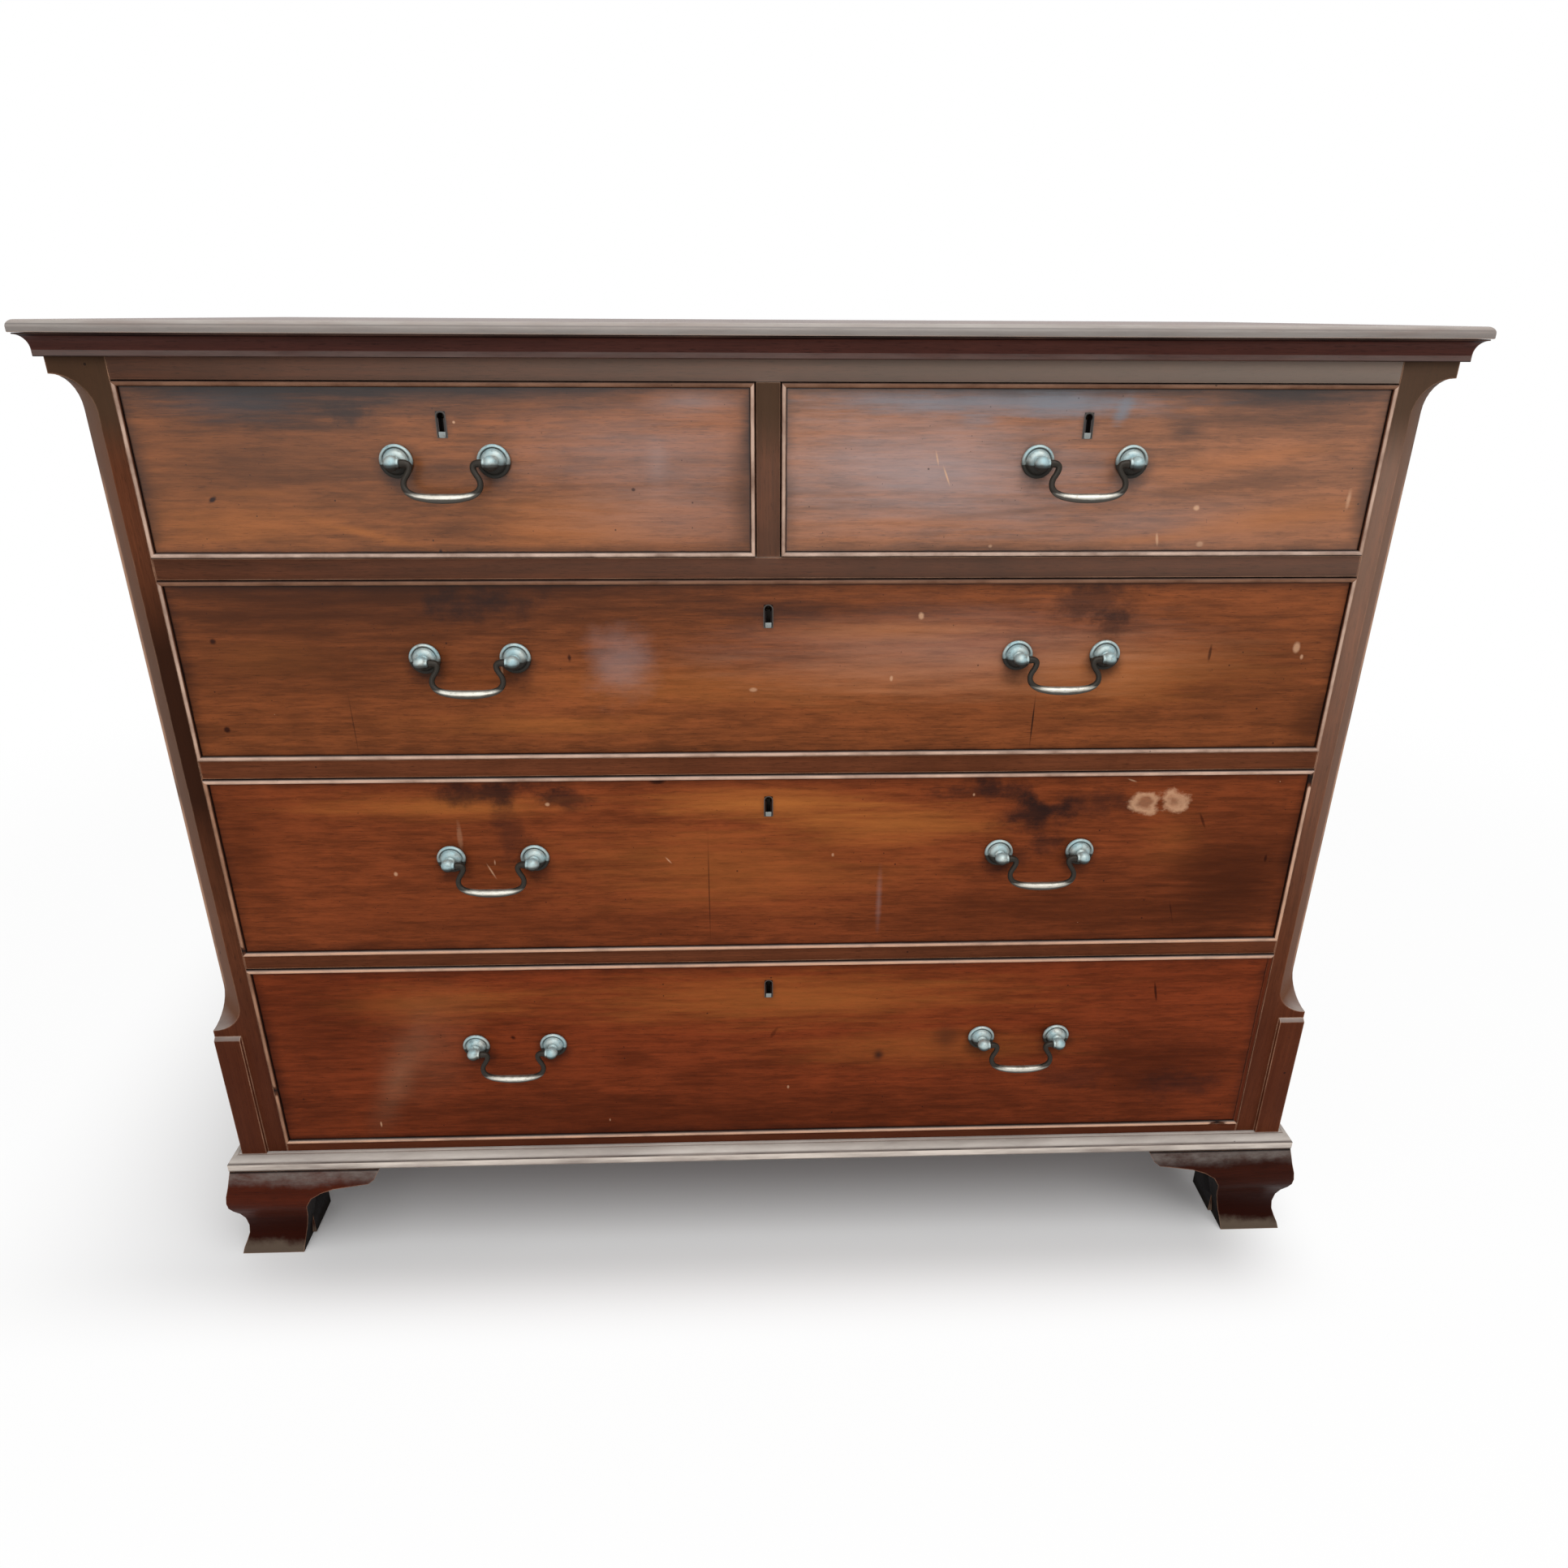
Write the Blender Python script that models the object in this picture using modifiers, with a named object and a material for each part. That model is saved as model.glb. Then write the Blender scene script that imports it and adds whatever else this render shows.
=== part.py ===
"""A mahogany chest of drawers of the late eighteenth century, two short drawers over three long.

The carcass has canted front corners with lamb's-tongue stops, a moulded top, a base moulding and
ogee bracket feet. Each drawer has a cockbeaded front, a dovetailed box, a lock and swan-neck bails.
X runs along the front, Y from front to back and Z up; the origin is on the floor, under the middle.
"""
import math

import bmesh
import bpy
from mathutils import Matrix, Vector

# Clearances
GAP = 0.0003                    # between neighbouring pieces
OVERRUN = 0.004                 # how far a cutter runs past what it cuts
DRAWER_CLEARANCE = 0.0008       # cockbead to rail, post or muntin

# Carcass, heights stacked from the floor up
FOOT_HEIGHT = 0.1085
BOTTOM_THICKNESS = 0.0249
LOWER_OPENING = 0.2122
LOWER_RAIL = 0.0142
MIDDLE_OPENING = 0.1830
MIDDLE_RAIL = 0.0169
UPPER_OPENING = 0.1595
UPPER_RAIL = 0.0175
TOP_OPENING = 0.1360
FRIEZE_HEIGHT = 0.0330
TOP_THICKNESS = 0.0088

# Carcass, widths and depths
OPENING_WIDTH = 0.9975
POST_WIDTH = 0.0452
POST_DEPTH = 0.0460
CARCASS_DEPTH = 0.5000
SIDE_THICKNESS = 0.0200
MUNTIN_WIDTH = 0.0193
RAIL_DEPTH = 0.0600
FRIEZE_DEPTH = 0.0600
BACK_THICKNESS = 0.0100
BACK_REBATE = 0.0080
BACK_BOARD_COUNT = 4
BACK_JOINT_WIDTH = 0.0020
BACK_JOINT_DEPTH = 0.0012
DUSTBOARD_THICKNESS = 0.0090
HOUSING_DEPTH = 0.0060
GUIDE_HEIGHT = 0.0220
KICKER_WIDTH = 0.0440
KICKER_THICKNESS = 0.0200
STOP_WIDTH = 0.0300
STOP_DEPTH = 0.0120
STOP_HEIGHT = 0.0050
# Places of the stops from the middle, as shares of half the opening
LONG_STOP_SHARES = (-0.72, 0.72)
SHORT_STOP_SHARES = (-0.75, -0.25, 0.25, 0.75)

# Canted corners
CANT_FRONT = 0.0305
CANT_SIDE = 0.0370
COVE_HEIGHT = 0.0280
UPPER_STOP_ABOVE_OPENING = 0.0040
LOWER_STOP_HEIGHT = 0.2750
COVE_STEPS = 8
PLINTH_PANEL_WIDTH = 0.0255
PLINTH_PANEL_PROUD = 0.0040
PLINTH_PANEL_TOP = 0.2680
PLINTH_PANEL_CHAMFER = 0.0030
PLINTH_PANEL_INSET = 0.0005

# Top board and the moulding under it
TOP_OVERHANG = 0.0142
TOP_EDGE_ROUND = 0.0050
TOP_EDGE_STEPS = 4
UNDER_MOULDING_HEIGHT = 0.0168
UNDER_MOULDING_REACH = 0.0122
UNDER_MOULDING_FILLET = 0.0050
UNDER_MOULDING_LIP = 0.0010

# Base moulding
BASE_MOULDING_HEIGHT = 0.0150
BASE_MOULDING_REACH = 0.0126
BASE_MOULDING_FILLET = 0.0052
BASE_MOULDING_QUIRK = 0.0012
BASE_MOULDING_LEDGE = 0.0036
BASE_MOULDING_STEP = 0.0008

# Bracket feet
FOOT_WING = 0.1410
FOOT_WALL = 0.0120
FOOT_BULGE = 0.0195
FOOT_BLOCK = 0.0440
FOOT_BLOCK_LIFT = 0.0030
FOOT_BLOCK_LAP = 0.0040
BACK_BRACKET_THICKNESS = 0.0180
BACK_BRACKET_REACH = 0.1150
# Height up the foot against reach out from the carcass, as shares of foot height and bulge
OGEE_SHARES = (
    (1.000, 0.62), (0.930, 0.70), (0.830, 0.82), (0.740, 0.95), (0.665, 1.00), (0.600, 0.97),
    (0.540, 0.84), (0.470, 0.63), (0.390, 0.48), (0.290, 0.42), (0.200, 0.47), (0.130, 0.61),
    (0.065, 0.77), (0.000, 0.87),
)
# Distance from the corner along the wing against height, as shares of wing and foot height
SCROLL_SHARES = (
    (0.950, 0.880), (0.905, 0.836), (0.765, 0.812), (0.652, 0.792), (0.555, 0.752), (0.480, 0.694),
    (0.440, 0.605), (0.412, 0.478), (0.387, 0.350), (0.355, 0.160), (0.335, 0.000),
)
BACK_BRACKET_SHARES = ((0.930, 0.860), (0.700, 0.740), (0.520, 0.520), (0.430, 0.000))

# Drawers
FRONT_THICKNESS = 0.0200
COCKBEAD_WIDTH = 0.0038
COCKBEAD_DEPTH = 0.0060
COCKBEAD_PROUD = 0.0032
COCKBEAD_STEPS = 4
DRAWER_LENGTH = 0.4700
DRAWER_SIDE = 0.0110
DRAWER_BACK = 0.0100
DRAWER_BOTTOM = 0.0070
DRAWER_BOTTOM_LIFT = 0.0080
DRAWER_SIDE_DROP = 0.0050
DRAWER_BACK_DROP = 0.0080
DOVETAIL_LENGTH = 0.0120
DOVETAIL_PITCH = 0.0420
DOVETAIL_NECK_SHARE = 0.50
DOVETAIL_HEAD_SHARE = 0.66
FEWEST_DOVETAILS = 2

# Locks and keyholes
LOCK_WIDTH = 0.0640
LOCK_HEIGHT = 0.0460
LOCK_DEPTH = 0.0100
SELVEDGE_WIDTH = 0.0720
SELVEDGE_THICKNESS = 0.0020
KEY_DROP = 0.0252
KEY_HOLE_RADIUS = 0.0028
KEY_SLOT_WIDTH = 0.0038
KEY_SLOT_LENGTH = 0.0155
KEY_PIN_RADIUS = 0.0010
KEY_PIN_SIDES = 8

# Handles
HANDLE_SPACING = 0.0760
HANDLE_OFFSET = 0.2525
TOP_HANDLE_LIFT = 0.0085
UPPER_HANDLE_LIFT = 0.0128
MIDDLE_HANDLE_LIFT = 0.0105
LOWER_HANDLE_LIFT = 0.0128
ROSE_RADIUS = 0.0132
ROSE_HEIGHT = 0.0080
ROSE_EDGE = 0.0012
POST_NECK_RADIUS = 0.0032
POST_HEAD_RADIUS = 0.0060
PIN_REACH = 0.0150
PIN_HOLE_RADIUS = 0.0021
PIN_HOLE_DEPTH = 0.0045
SHANK_RADIUS = 0.0026
SHANK_HOLE_RADIUS = 0.0031
NUT_RADIUS = 0.0062
NUT_THICKNESS = 0.0042
TURNING_STEPS = 10
BALL_STEPS = 5
DOME_STEPS = 4
DOME_RISE = 70                  # degrees of arc from the rim of a rose to its neck
BAIL_DROP = 0.0260
BAIL_BOW = 0.0055
BAIL_GRIP_RADIUS = 0.0038
# Half of the bail from pin to middle: across as a share of half the spacing, down as a share of
# the drop, and thickness as a share of the grip
BAIL_SHARES = (
    (0.935, 0.000, 0.43), (0.850, 0.000, 0.43), (0.828, 0.000, 0.86), (0.708, 0.010, 0.76),
    (0.654, 0.060, 0.70), (0.650, 0.160, 0.67), (0.696, 0.300, 0.66), (0.754, 0.440, 0.66),
    (0.779, 0.600, 0.67), (0.732, 0.765, 0.70), (0.600, 0.895, 0.78), (0.370, 0.972, 0.91),
)

# Places worked out from the sizes
BOTTOM_TOP = FOOT_HEIGHT + BOTTOM_THICKNESS
LOWER_RAIL_BASE = BOTTOM_TOP + LOWER_OPENING
LOWER_RAIL_TOP = LOWER_RAIL_BASE + LOWER_RAIL
MIDDLE_RAIL_BASE = LOWER_RAIL_TOP + MIDDLE_OPENING
MIDDLE_RAIL_TOP = MIDDLE_RAIL_BASE + MIDDLE_RAIL
UPPER_RAIL_BASE = MIDDLE_RAIL_TOP + UPPER_OPENING
UPPER_RAIL_TOP = UPPER_RAIL_BASE + UPPER_RAIL
FRIEZE_BASE = UPPER_RAIL_TOP + TOP_OPENING
TOP_BASE = FRIEZE_BASE + FRIEZE_HEIGHT
TOP_SURFACE = TOP_BASE + TOP_THICKNESS
HALF_OPENING = OPENING_WIDTH / 2
HALF_WIDTH = HALF_OPENING + POST_WIDTH
SIDE_INNER = HALF_WIDTH - SIDE_THICKNESS
HANDLE_REACH = PIN_REACH + BAIL_BOW + BAIL_GRIP_RADIUS
FRONT_Y = -(CARCASS_DEPTH - HANDLE_REACH) / 2
BACK_Y = FRONT_Y + CARCASS_DEPTH
BACK_INNER = BACK_Y - BACK_THICKNESS
UP = Vector((0, 0, 1))
INWARD = Vector((0, 1, 0))
ROUND_SIDES = 12
ROUND_PROFILE = 0.5             # a bevel whose section is part of a circle
CREASE = math.radians(40)       # round pieces are shaded smooth up to this angle

# Colours and surfaces: base colour, roughness, metallic
FINISHES = {
    "top_mahogany": ((0.075, 0.036, 0.026, 1), 0.38, 0.0),
    "dark_mahogany": ((0.048, 0.017, 0.012, 1), 0.40, 0.0),
    "drawer_mahogany": ((0.150, 0.045, 0.020, 1), 0.36, 0.0),
    "bead_mahogany": ((0.330, 0.170, 0.105, 1), 0.42, 0.0),
    "moulding_mahogany": ((0.085, 0.040, 0.032, 1), 0.42, 0.0),
    "foot_mahogany": ((0.055, 0.016, 0.011, 1), 0.42, 0.0),
    "oak": ((0.330, 0.200, 0.095, 1), 0.70, 0.0),
    "pine": ((0.270, 0.160, 0.080, 1), 0.75, 0.0),
    "brass": ((0.210, 0.250, 0.240, 1), 0.42, 0.9),
    "lock_brass": ((0.380, 0.290, 0.140, 1), 0.45, 0.9),
}


def clear_scene():
    """Remove whatever objects the file opened with."""
    for thing in list(bpy.data.objects):
        bpy.data.objects.remove(thing, do_unlink=True)


def new_collection(name):
    """Add an empty collection to the scene."""
    collection = bpy.data.collections.new(name)
    bpy.context.scene.collection.children.link(collection)
    return collection


clear_scene()
PARTS = new_collection("chest_of_drawers")
CUTTERS = new_collection("cutters")


def finish(name):
    """One Principled material for each sub-part, in one of the finishes."""
    def make(part):
        colour, roughness, metallic = FINISHES[name]
        material = bpy.data.materials.new(part)
        material.use_nodes = True
        shader = material.node_tree.nodes["Principled BSDF"]
        shader.inputs["Base Color"].default_value = colour
        shader.inputs["Roughness"].default_value = roughness
        shader.inputs["Metallic"].default_value = metallic
        return material
    return make


def add_object(name, data, surface=None):
    """Put mesh or curve data in the scene: a part if it has a surface, or else a cutter."""
    thing = bpy.data.objects.new(name, data)
    if surface is None:
        CUTTERS.objects.link(thing)
        thing.hide_render = True
        thing.display_type = "WIRE"
    else:
        PARTS.objects.link(thing)
        if not data.materials:
            data.materials.append(surface(name))
    return thing


def mesh_object(name, bm, surface=None):
    """Turn a bmesh into an object whose origin is at the middle of its box."""
    bmesh.ops.recalc_face_normals(bm, faces=bm.faces)
    if bm.calc_volume(signed=True) < 0:
        bmesh.ops.reverse_faces(bm, faces=bm.faces)
    low = Vector([min(vert.co[axis] for vert in bm.verts) for axis in range(3)])
    high = Vector([max(vert.co[axis] for vert in bm.verts) for axis in range(3)])
    origin = (low + high) / 2
    bmesh.ops.translate(bm, verts=bm.verts, vec=-origin)
    mesh = bpy.data.meshes.new(name)
    bm.to_mesh(mesh)
    bm.free()
    thing = add_object(name, mesh, surface)
    thing.location = origin
    return thing


def block(low, high):
    """A cube stretched between two corners, still open to shaping."""
    low, high = Vector(low), Vector(high)
    bm = bmesh.new()
    bmesh.ops.create_cube(bm, size=1.0)
    bmesh.ops.scale(bm, vec=high - low, verts=bm.verts)
    bmesh.ops.translate(bm, vec=(low + high) / 2, verts=bm.verts)
    bm.normal_update()
    return bm


def box(name, low, high, surface=None):
    """A square-edged board between two corners."""
    return mesh_object(name, block(low, high), surface)


def cylinder(name, centre, along, radius, length, sides=ROUND_SIDES):
    """A round cutter whose middle is at a point and whose axis runs along X, Y or Z."""
    turn = Vector(along).to_track_quat("Z", "Y").to_matrix().to_4x4()
    bm = bmesh.new()
    bmesh.ops.create_cone(
        bm, cap_ends=True, segments=sides, radius1=radius, radius2=radius, depth=length,
        matrix=Matrix.Translation(Vector(centre)) @ turn)
    return mesh_object(name, bm)


def outline_solid(name, outline, low, high, place, surface=None):
    """Extrude a flat outline from low to high; place turns (u, v, w) into a point of the chest."""
    curve = bpy.data.curves.new(name, "CURVE")
    curve.dimensions = "2D"
    curve.fill_mode = "BOTH"
    curve.extrude = (high - low) / 2
    spline = curve.splines.new("POLY")
    spline.points.add(len(outline) - 1)
    for point, (u, v) in zip(spline.points, outline):
        point.co = (u, v, 0, 1)
    spline.use_cyclic_u = True
    flat = bpy.data.objects.new(name + "_outline", curve)
    CUTTERS.objects.link(flat)
    bpy.context.view_layer.update()
    depsgraph = bpy.context.evaluated_depsgraph_get()
    mesh = bpy.data.meshes.new_from_object(flat.evaluated_get(depsgraph))
    bpy.data.objects.remove(flat, do_unlink=True)
    bm = bmesh.new()
    bm.from_mesh(mesh)
    bpy.data.meshes.remove(mesh)
    bmesh.ops.remove_doubles(bm, verts=bm.verts, dist=GAP / 100)
    for vert in bm.verts:
        vert.co = place(vert.co.x, vert.co.y, (low + high) / 2 + vert.co.z)
    return mesh_object(name, bm, surface)


def across(u, v, w):
    """Outline in Y and Z, extruded along X."""
    return Vector((w, u, v))


def backward(u, v, w):
    """Outline in X and Z, extruded along Y."""
    return Vector((u, w, v))


def upright(u, v, w):
    """Outline in X and Y, extruded along Z."""
    return Vector((u, v, w))


def moulding(name, profile, stations, rise, surface=None, closed=False):
    """Extrude a profile's edges from mitre to mitre.

    A station is a point of the path and the direction, with its length, in which the profile's
    first value moves away from the path there. The second value moves along rise.
    """
    bm = bmesh.new()
    number = bm.verts.layers.int.new("profile_point")

    def settle(verts, station):
        corner, spread = station
        for vert in verts:
            reach, height = profile[vert[number]]
            vert.co = Vector(corner) + Vector(spread) * reach + rise * height

    verts = [bm.verts.new((0, 0, 0)) for _ in profile]
    for index, vert in enumerate(verts):
        vert[number] = index
    settle(verts, stations[0])
    edges = [bm.edges.new((vert, verts[index - 1])) for index, vert in enumerate(verts)]
    ends = [edges]
    for station in stations[1:] + (stations[:1] if closed else []):
        made = bmesh.ops.extrude_edge_only(bm, edges=edges)["geom"]
        verts = [item for item in made if isinstance(item, bmesh.types.BMVert)]
        fresh = set(verts)
        edges = [item for item in made
                 if isinstance(item, bmesh.types.BMEdge) and set(item.verts) <= fresh]
        settle(verts, station)
    ends.append(edges)
    if closed:
        bmesh.ops.remove_doubles(bm, verts=bm.verts, dist=GAP / 100)
    else:
        for loop in ends:
            bmesh.ops.contextual_create(bm, geom=loop)
    return mesh_object(name, bm, surface)


def arc(centre, radii, start, end, steps):
    """Points along part of an ellipse, angles in degrees."""
    points = []
    for step in range(steps + 1):
        angle = math.radians(start + (end - start) * step / steps)
        points.append((centre[0] + radii[0] * math.cos(angle), centre[1] + radii[1] * math.sin(angle)))
    return points


def combine(piece, tool, operation):
    """Cut a piece by a tool, or join the tool to it."""
    modifier = piece.modifiers.new(tool.name, "BOOLEAN")
    modifier.operation = operation
    modifier.solver = "EXACT"
    modifier.object = tool


def cut(piece, *tools):
    for tool in tools:
        combine(piece, tool, "DIFFERENCE")


def join(piece, *tools):
    for tool in tools:
        combine(piece, tool, "UNION")


def side(name, hand):
    """A side of the carcass with its canted front post, seen in plan and extruded upwards."""
    surface = finish("dark_mahogany")

    def mirrored(u, v, w):
        return Vector((hand * u, v, w))

    plan = [
        (HALF_WIDTH, FRONT_Y), (HALF_OPENING, FRONT_Y), (HALF_OPENING, FRONT_Y + POST_DEPTH),
        (SIDE_INNER, FRONT_Y + POST_DEPTH), (SIDE_INNER, BACK_INNER),
        (SIDE_INNER + BACK_REBATE, BACK_INNER), (SIDE_INNER + BACK_REBATE, BACK_Y),
        (HALF_WIDTH, BACK_Y),
    ]
    panel = outline_solid(name, plan, FOOT_HEIGHT, TOP_BASE - GAP, mirrored, surface)
    cut(panel, cant_cutter(name + "_cant", hand))
    for rail_top in (LOWER_RAIL_TOP, MIDDLE_RAIL_TOP, UPPER_RAIL_TOP):
        housing = [
            (SIDE_INNER - OVERRUN, rail_top - DUSTBOARD_THICKNESS - GAP),
            (SIDE_INNER + HOUSING_DEPTH, rail_top - DUSTBOARD_THICKNESS - GAP),
            (SIDE_INNER + HOUSING_DEPTH, rail_top + GAP), (SIDE_INNER - OVERRUN, rail_top + GAP),
        ]

        def placed(u, v, w):
            return Vector((hand * u, w, v))

        groove = outline_solid(
            name + "_housing", housing, FRONT_Y + POST_DEPTH, BACK_INNER + OVERRUN, placed)
        cut(panel, groove)
    join(panel, plinth_panel(name + "_plinth_panel", hand))
    return panel


def cant_cutter(name, hand):
    """What the canted corner takes away: a straight cant that ends in a cove at both stops."""
    length = math.hypot(CANT_FRONT, CANT_SIDE)
    depth = CANT_FRONT * CANT_SIDE / length
    start = Vector((HALF_WIDTH - CANT_FRONT, FRONT_Y, 0))
    along = Vector((CANT_FRONT, CANT_SIDE, 0)) / length
    outward = Vector((CANT_SIDE, -CANT_FRONT, 0)) / length
    upper = FRIEZE_BASE + UPPER_STOP_ABOVE_OPENING
    lower = LOWER_STOP_HEIGHT
    outline = arc((depth, lower + COVE_HEIGHT), (depth, COVE_HEIGHT), 180, 270, COVE_STEPS)
    outline += [(depth + OVERRUN, lower), (depth + OVERRUN, upper)]
    outline += arc((depth, upper - COVE_HEIGHT), (depth, COVE_HEIGHT), 90, 180, COVE_STEPS)

    def placed(u, v, w):
        point = start + outward * u + along * w + UP * v
        return Vector((hand * point.x, point.y, point.z))

    return outline_solid(name, outline, -OVERRUN, length + OVERRUN, placed)


def plinth_panel(name, hand):
    """The thin raised panel on the front of the corner block, with a bevelled top edge."""
    base = FOOT_HEIGHT + BASE_MOULDING_HEIGHT + GAP
    face = FRONT_Y - PLINTH_PANEL_PROUD
    outline = [
        (FRONT_Y + OVERRUN, base), (face, base), (face, PLINTH_PANEL_TOP - PLINTH_PANEL_CHAMFER),
        (face + PLINTH_PANEL_CHAMFER, PLINTH_PANEL_TOP), (FRONT_Y + OVERRUN, PLINTH_PANEL_TOP),
    ]

    def placed(u, v, w):
        return Vector((hand * w, u, v))

    outer = HALF_WIDTH - PLINTH_PANEL_INSET
    return outline_solid(name, outline, HALF_WIDTH - PLINTH_PANEL_WIDTH, outer, placed)


def divider(name, rail_base, rail_top, short_drawers):
    """A rail between two rows of drawers, with its dustboard, drawer guides and drawer stops."""
    surface = finish("dark_mahogany")
    edge = HALF_OPENING - GAP
    rail = box(name, (-edge, FRONT_Y, rail_base), (edge, FRONT_Y + RAIL_DEPTH, rail_top), surface)
    board_end = SIDE_INNER + HOUSING_DEPTH - GAP
    board = box(
        name + "_dustboard", (-board_end, FRONT_Y + POST_DEPTH + GAP, rail_top - DUSTBOARD_THICKNESS),
        (board_end, BACK_INNER - GAP, rail_top - GAP))
    join(rail, board)
    join(rail, *drawer_guides(name, rail_top, short_drawers))
    for share in SHORT_STOP_SHARES if short_drawers else LONG_STOP_SHARES:
        join(rail, drawer_stop(name + "_stop", share * HALF_OPENING, rail_top))
    return rail


def drawer_guides(name, floor, short_drawers):
    """Strips that keep the drawers straight: one beside each side, and one between short drawers."""
    guides = []
    spans = [(HALF_OPENING + GAP, SIDE_INNER - GAP), (GAP - SIDE_INNER, -HALF_OPENING - GAP)]
    if short_drawers:
        spans.append((GAP - MUNTIN_WIDTH / 2, MUNTIN_WIDTH / 2 - GAP))
    for low, high in spans:
        guides.append(box(
            name + "_guide", (low, FRONT_Y + POST_DEPTH + GAP + GAP, floor - DUSTBOARD_THICKNESS / 2),
            (high, BACK_INNER - GAP - GAP, floor + GUIDE_HEIGHT)))
    return guides


def drawer_stop(name, middle, floor):
    """A small block that the back of the drawer front comes to rest against."""
    start = FRONT_Y + FRONT_THICKNESS + GAP
    return box(
        name, (middle - STOP_WIDTH / 2, start, floor - DUSTBOARD_THICKNESS / 2),
        (middle + STOP_WIDTH / 2, start + STOP_DEPTH, floor + STOP_HEIGHT))


def carcass():
    """Everything that stands still, apart from the mouldings and the feet."""
    side("side_left", -1)
    side("side_right", 1)
    edge = HALF_OPENING - GAP

    frieze = box(
        "frieze_rail", (-edge, FRONT_Y, FRIEZE_BASE), (edge, FRONT_Y + FRIEZE_DEPTH, TOP_BASE - GAP),
        finish("dark_mahogany"))
    kicker_start = FRONT_Y + POST_DEPTH + GAP
    kicker_spans = (
        (SIDE_INNER - GAP - KICKER_WIDTH, SIDE_INNER - GAP), (-KICKER_WIDTH / 2, KICKER_WIDTH / 2),
        (GAP - SIDE_INNER, GAP - SIDE_INNER + KICKER_WIDTH),
    )
    for low, high in kicker_spans:
        join(frieze, box(
            "frieze_kicker", (low, kicker_start, FRIEZE_BASE + GAP),
            (high, BACK_INNER - GAP, FRIEZE_BASE + KICKER_THICKNESS)))

    divider("divider_upper", UPPER_RAIL_BASE, UPPER_RAIL_TOP, True)
    divider("divider_middle", MIDDLE_RAIL_BASE, MIDDLE_RAIL_TOP, False)
    divider("divider_lower", LOWER_RAIL_BASE, LOWER_RAIL_TOP, False)

    box("muntin", (-MUNTIN_WIDTH / 2, FRONT_Y, UPPER_RAIL_TOP + GAP),
        (MUNTIN_WIDTH / 2, FRONT_Y + POST_DEPTH, FRIEZE_BASE - GAP), finish("dark_mahogany"))

    bottom = box(
        "bottom_board", (-edge, FRONT_Y, FOOT_HEIGHT), (edge, FRONT_Y + RAIL_DEPTH, BOTTOM_TOP),
        finish("dark_mahogany"))
    join(bottom, box(
        "bottom_board_rear", (GAP - SIDE_INNER, FRONT_Y + POST_DEPTH + GAP, FOOT_HEIGHT + GAP),
        (SIDE_INNER - GAP, BACK_INNER - GAP, BOTTOM_TOP - GAP)))
    join(bottom, *drawer_guides("bottom_board", BOTTOM_TOP, False))
    for share in LONG_STOP_SHARES:
        join(bottom, drawer_stop("bottom_board_stop", share * HALF_OPENING, BOTTOM_TOP))

    back_edge = SIDE_INNER + BACK_REBATE - GAP
    back = box(
        "back_panel", (-back_edge, BACK_INNER + GAP, FOOT_HEIGHT), (back_edge, BACK_Y, TOP_BASE - GAP),
        finish("pine"))
    board_height = (TOP_BASE - FOOT_HEIGHT) / BACK_BOARD_COUNT
    for joint in range(1, BACK_BOARD_COUNT):
        height = FOOT_HEIGHT + joint * board_height
        cut(back, outline_solid(
            "back_joint",
            [(BACK_Y + GAP, height - BACK_JOINT_WIDTH), (BACK_Y + GAP, height + BACK_JOINT_WIDTH),
             (BACK_Y - BACK_JOINT_DEPTH, height)],
            -HALF_WIDTH, HALF_WIDTH, across))


def top_board():
    """The top, with a rounded upper edge on the front and both ends."""
    reach = HALF_WIDTH + TOP_OVERHANG
    bm = block((-reach, FRONT_Y - TOP_OVERHANG, TOP_BASE), (reach, BACK_Y, TOP_SURFACE))
    moulded = []
    for edge in bm.edges:
        centre = (edge.verts[0].co + edge.verts[1].co) / 2
        if centre.y < BACK_Y - GAP and centre.z > TOP_SURFACE - GAP:
            moulded.append(edge)
    bmesh.ops.bevel(
        bm, geom=moulded, offset=TOP_EDGE_ROUND, segments=TOP_EDGE_STEPS, profile=ROUND_PROFILE,
        affect="EDGES", clamp_overlap=True)
    mesh_object("top_board", bm, finish("top_mahogany"))


def around_front(reach_back):
    """Stations of a moulding that runs along one side, across the front and back along the other."""
    return [
        ((-HALF_WIDTH, reach_back, 0), (-1, 0, 0)), ((-HALF_WIDTH, FRONT_Y, 0), (-1, -1, 0)),
        ((HALF_WIDTH, FRONT_Y, 0), (1, -1, 0)), ((HALF_WIDTH, reach_back, 0), (1, 0, 0)),
    ]


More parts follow.
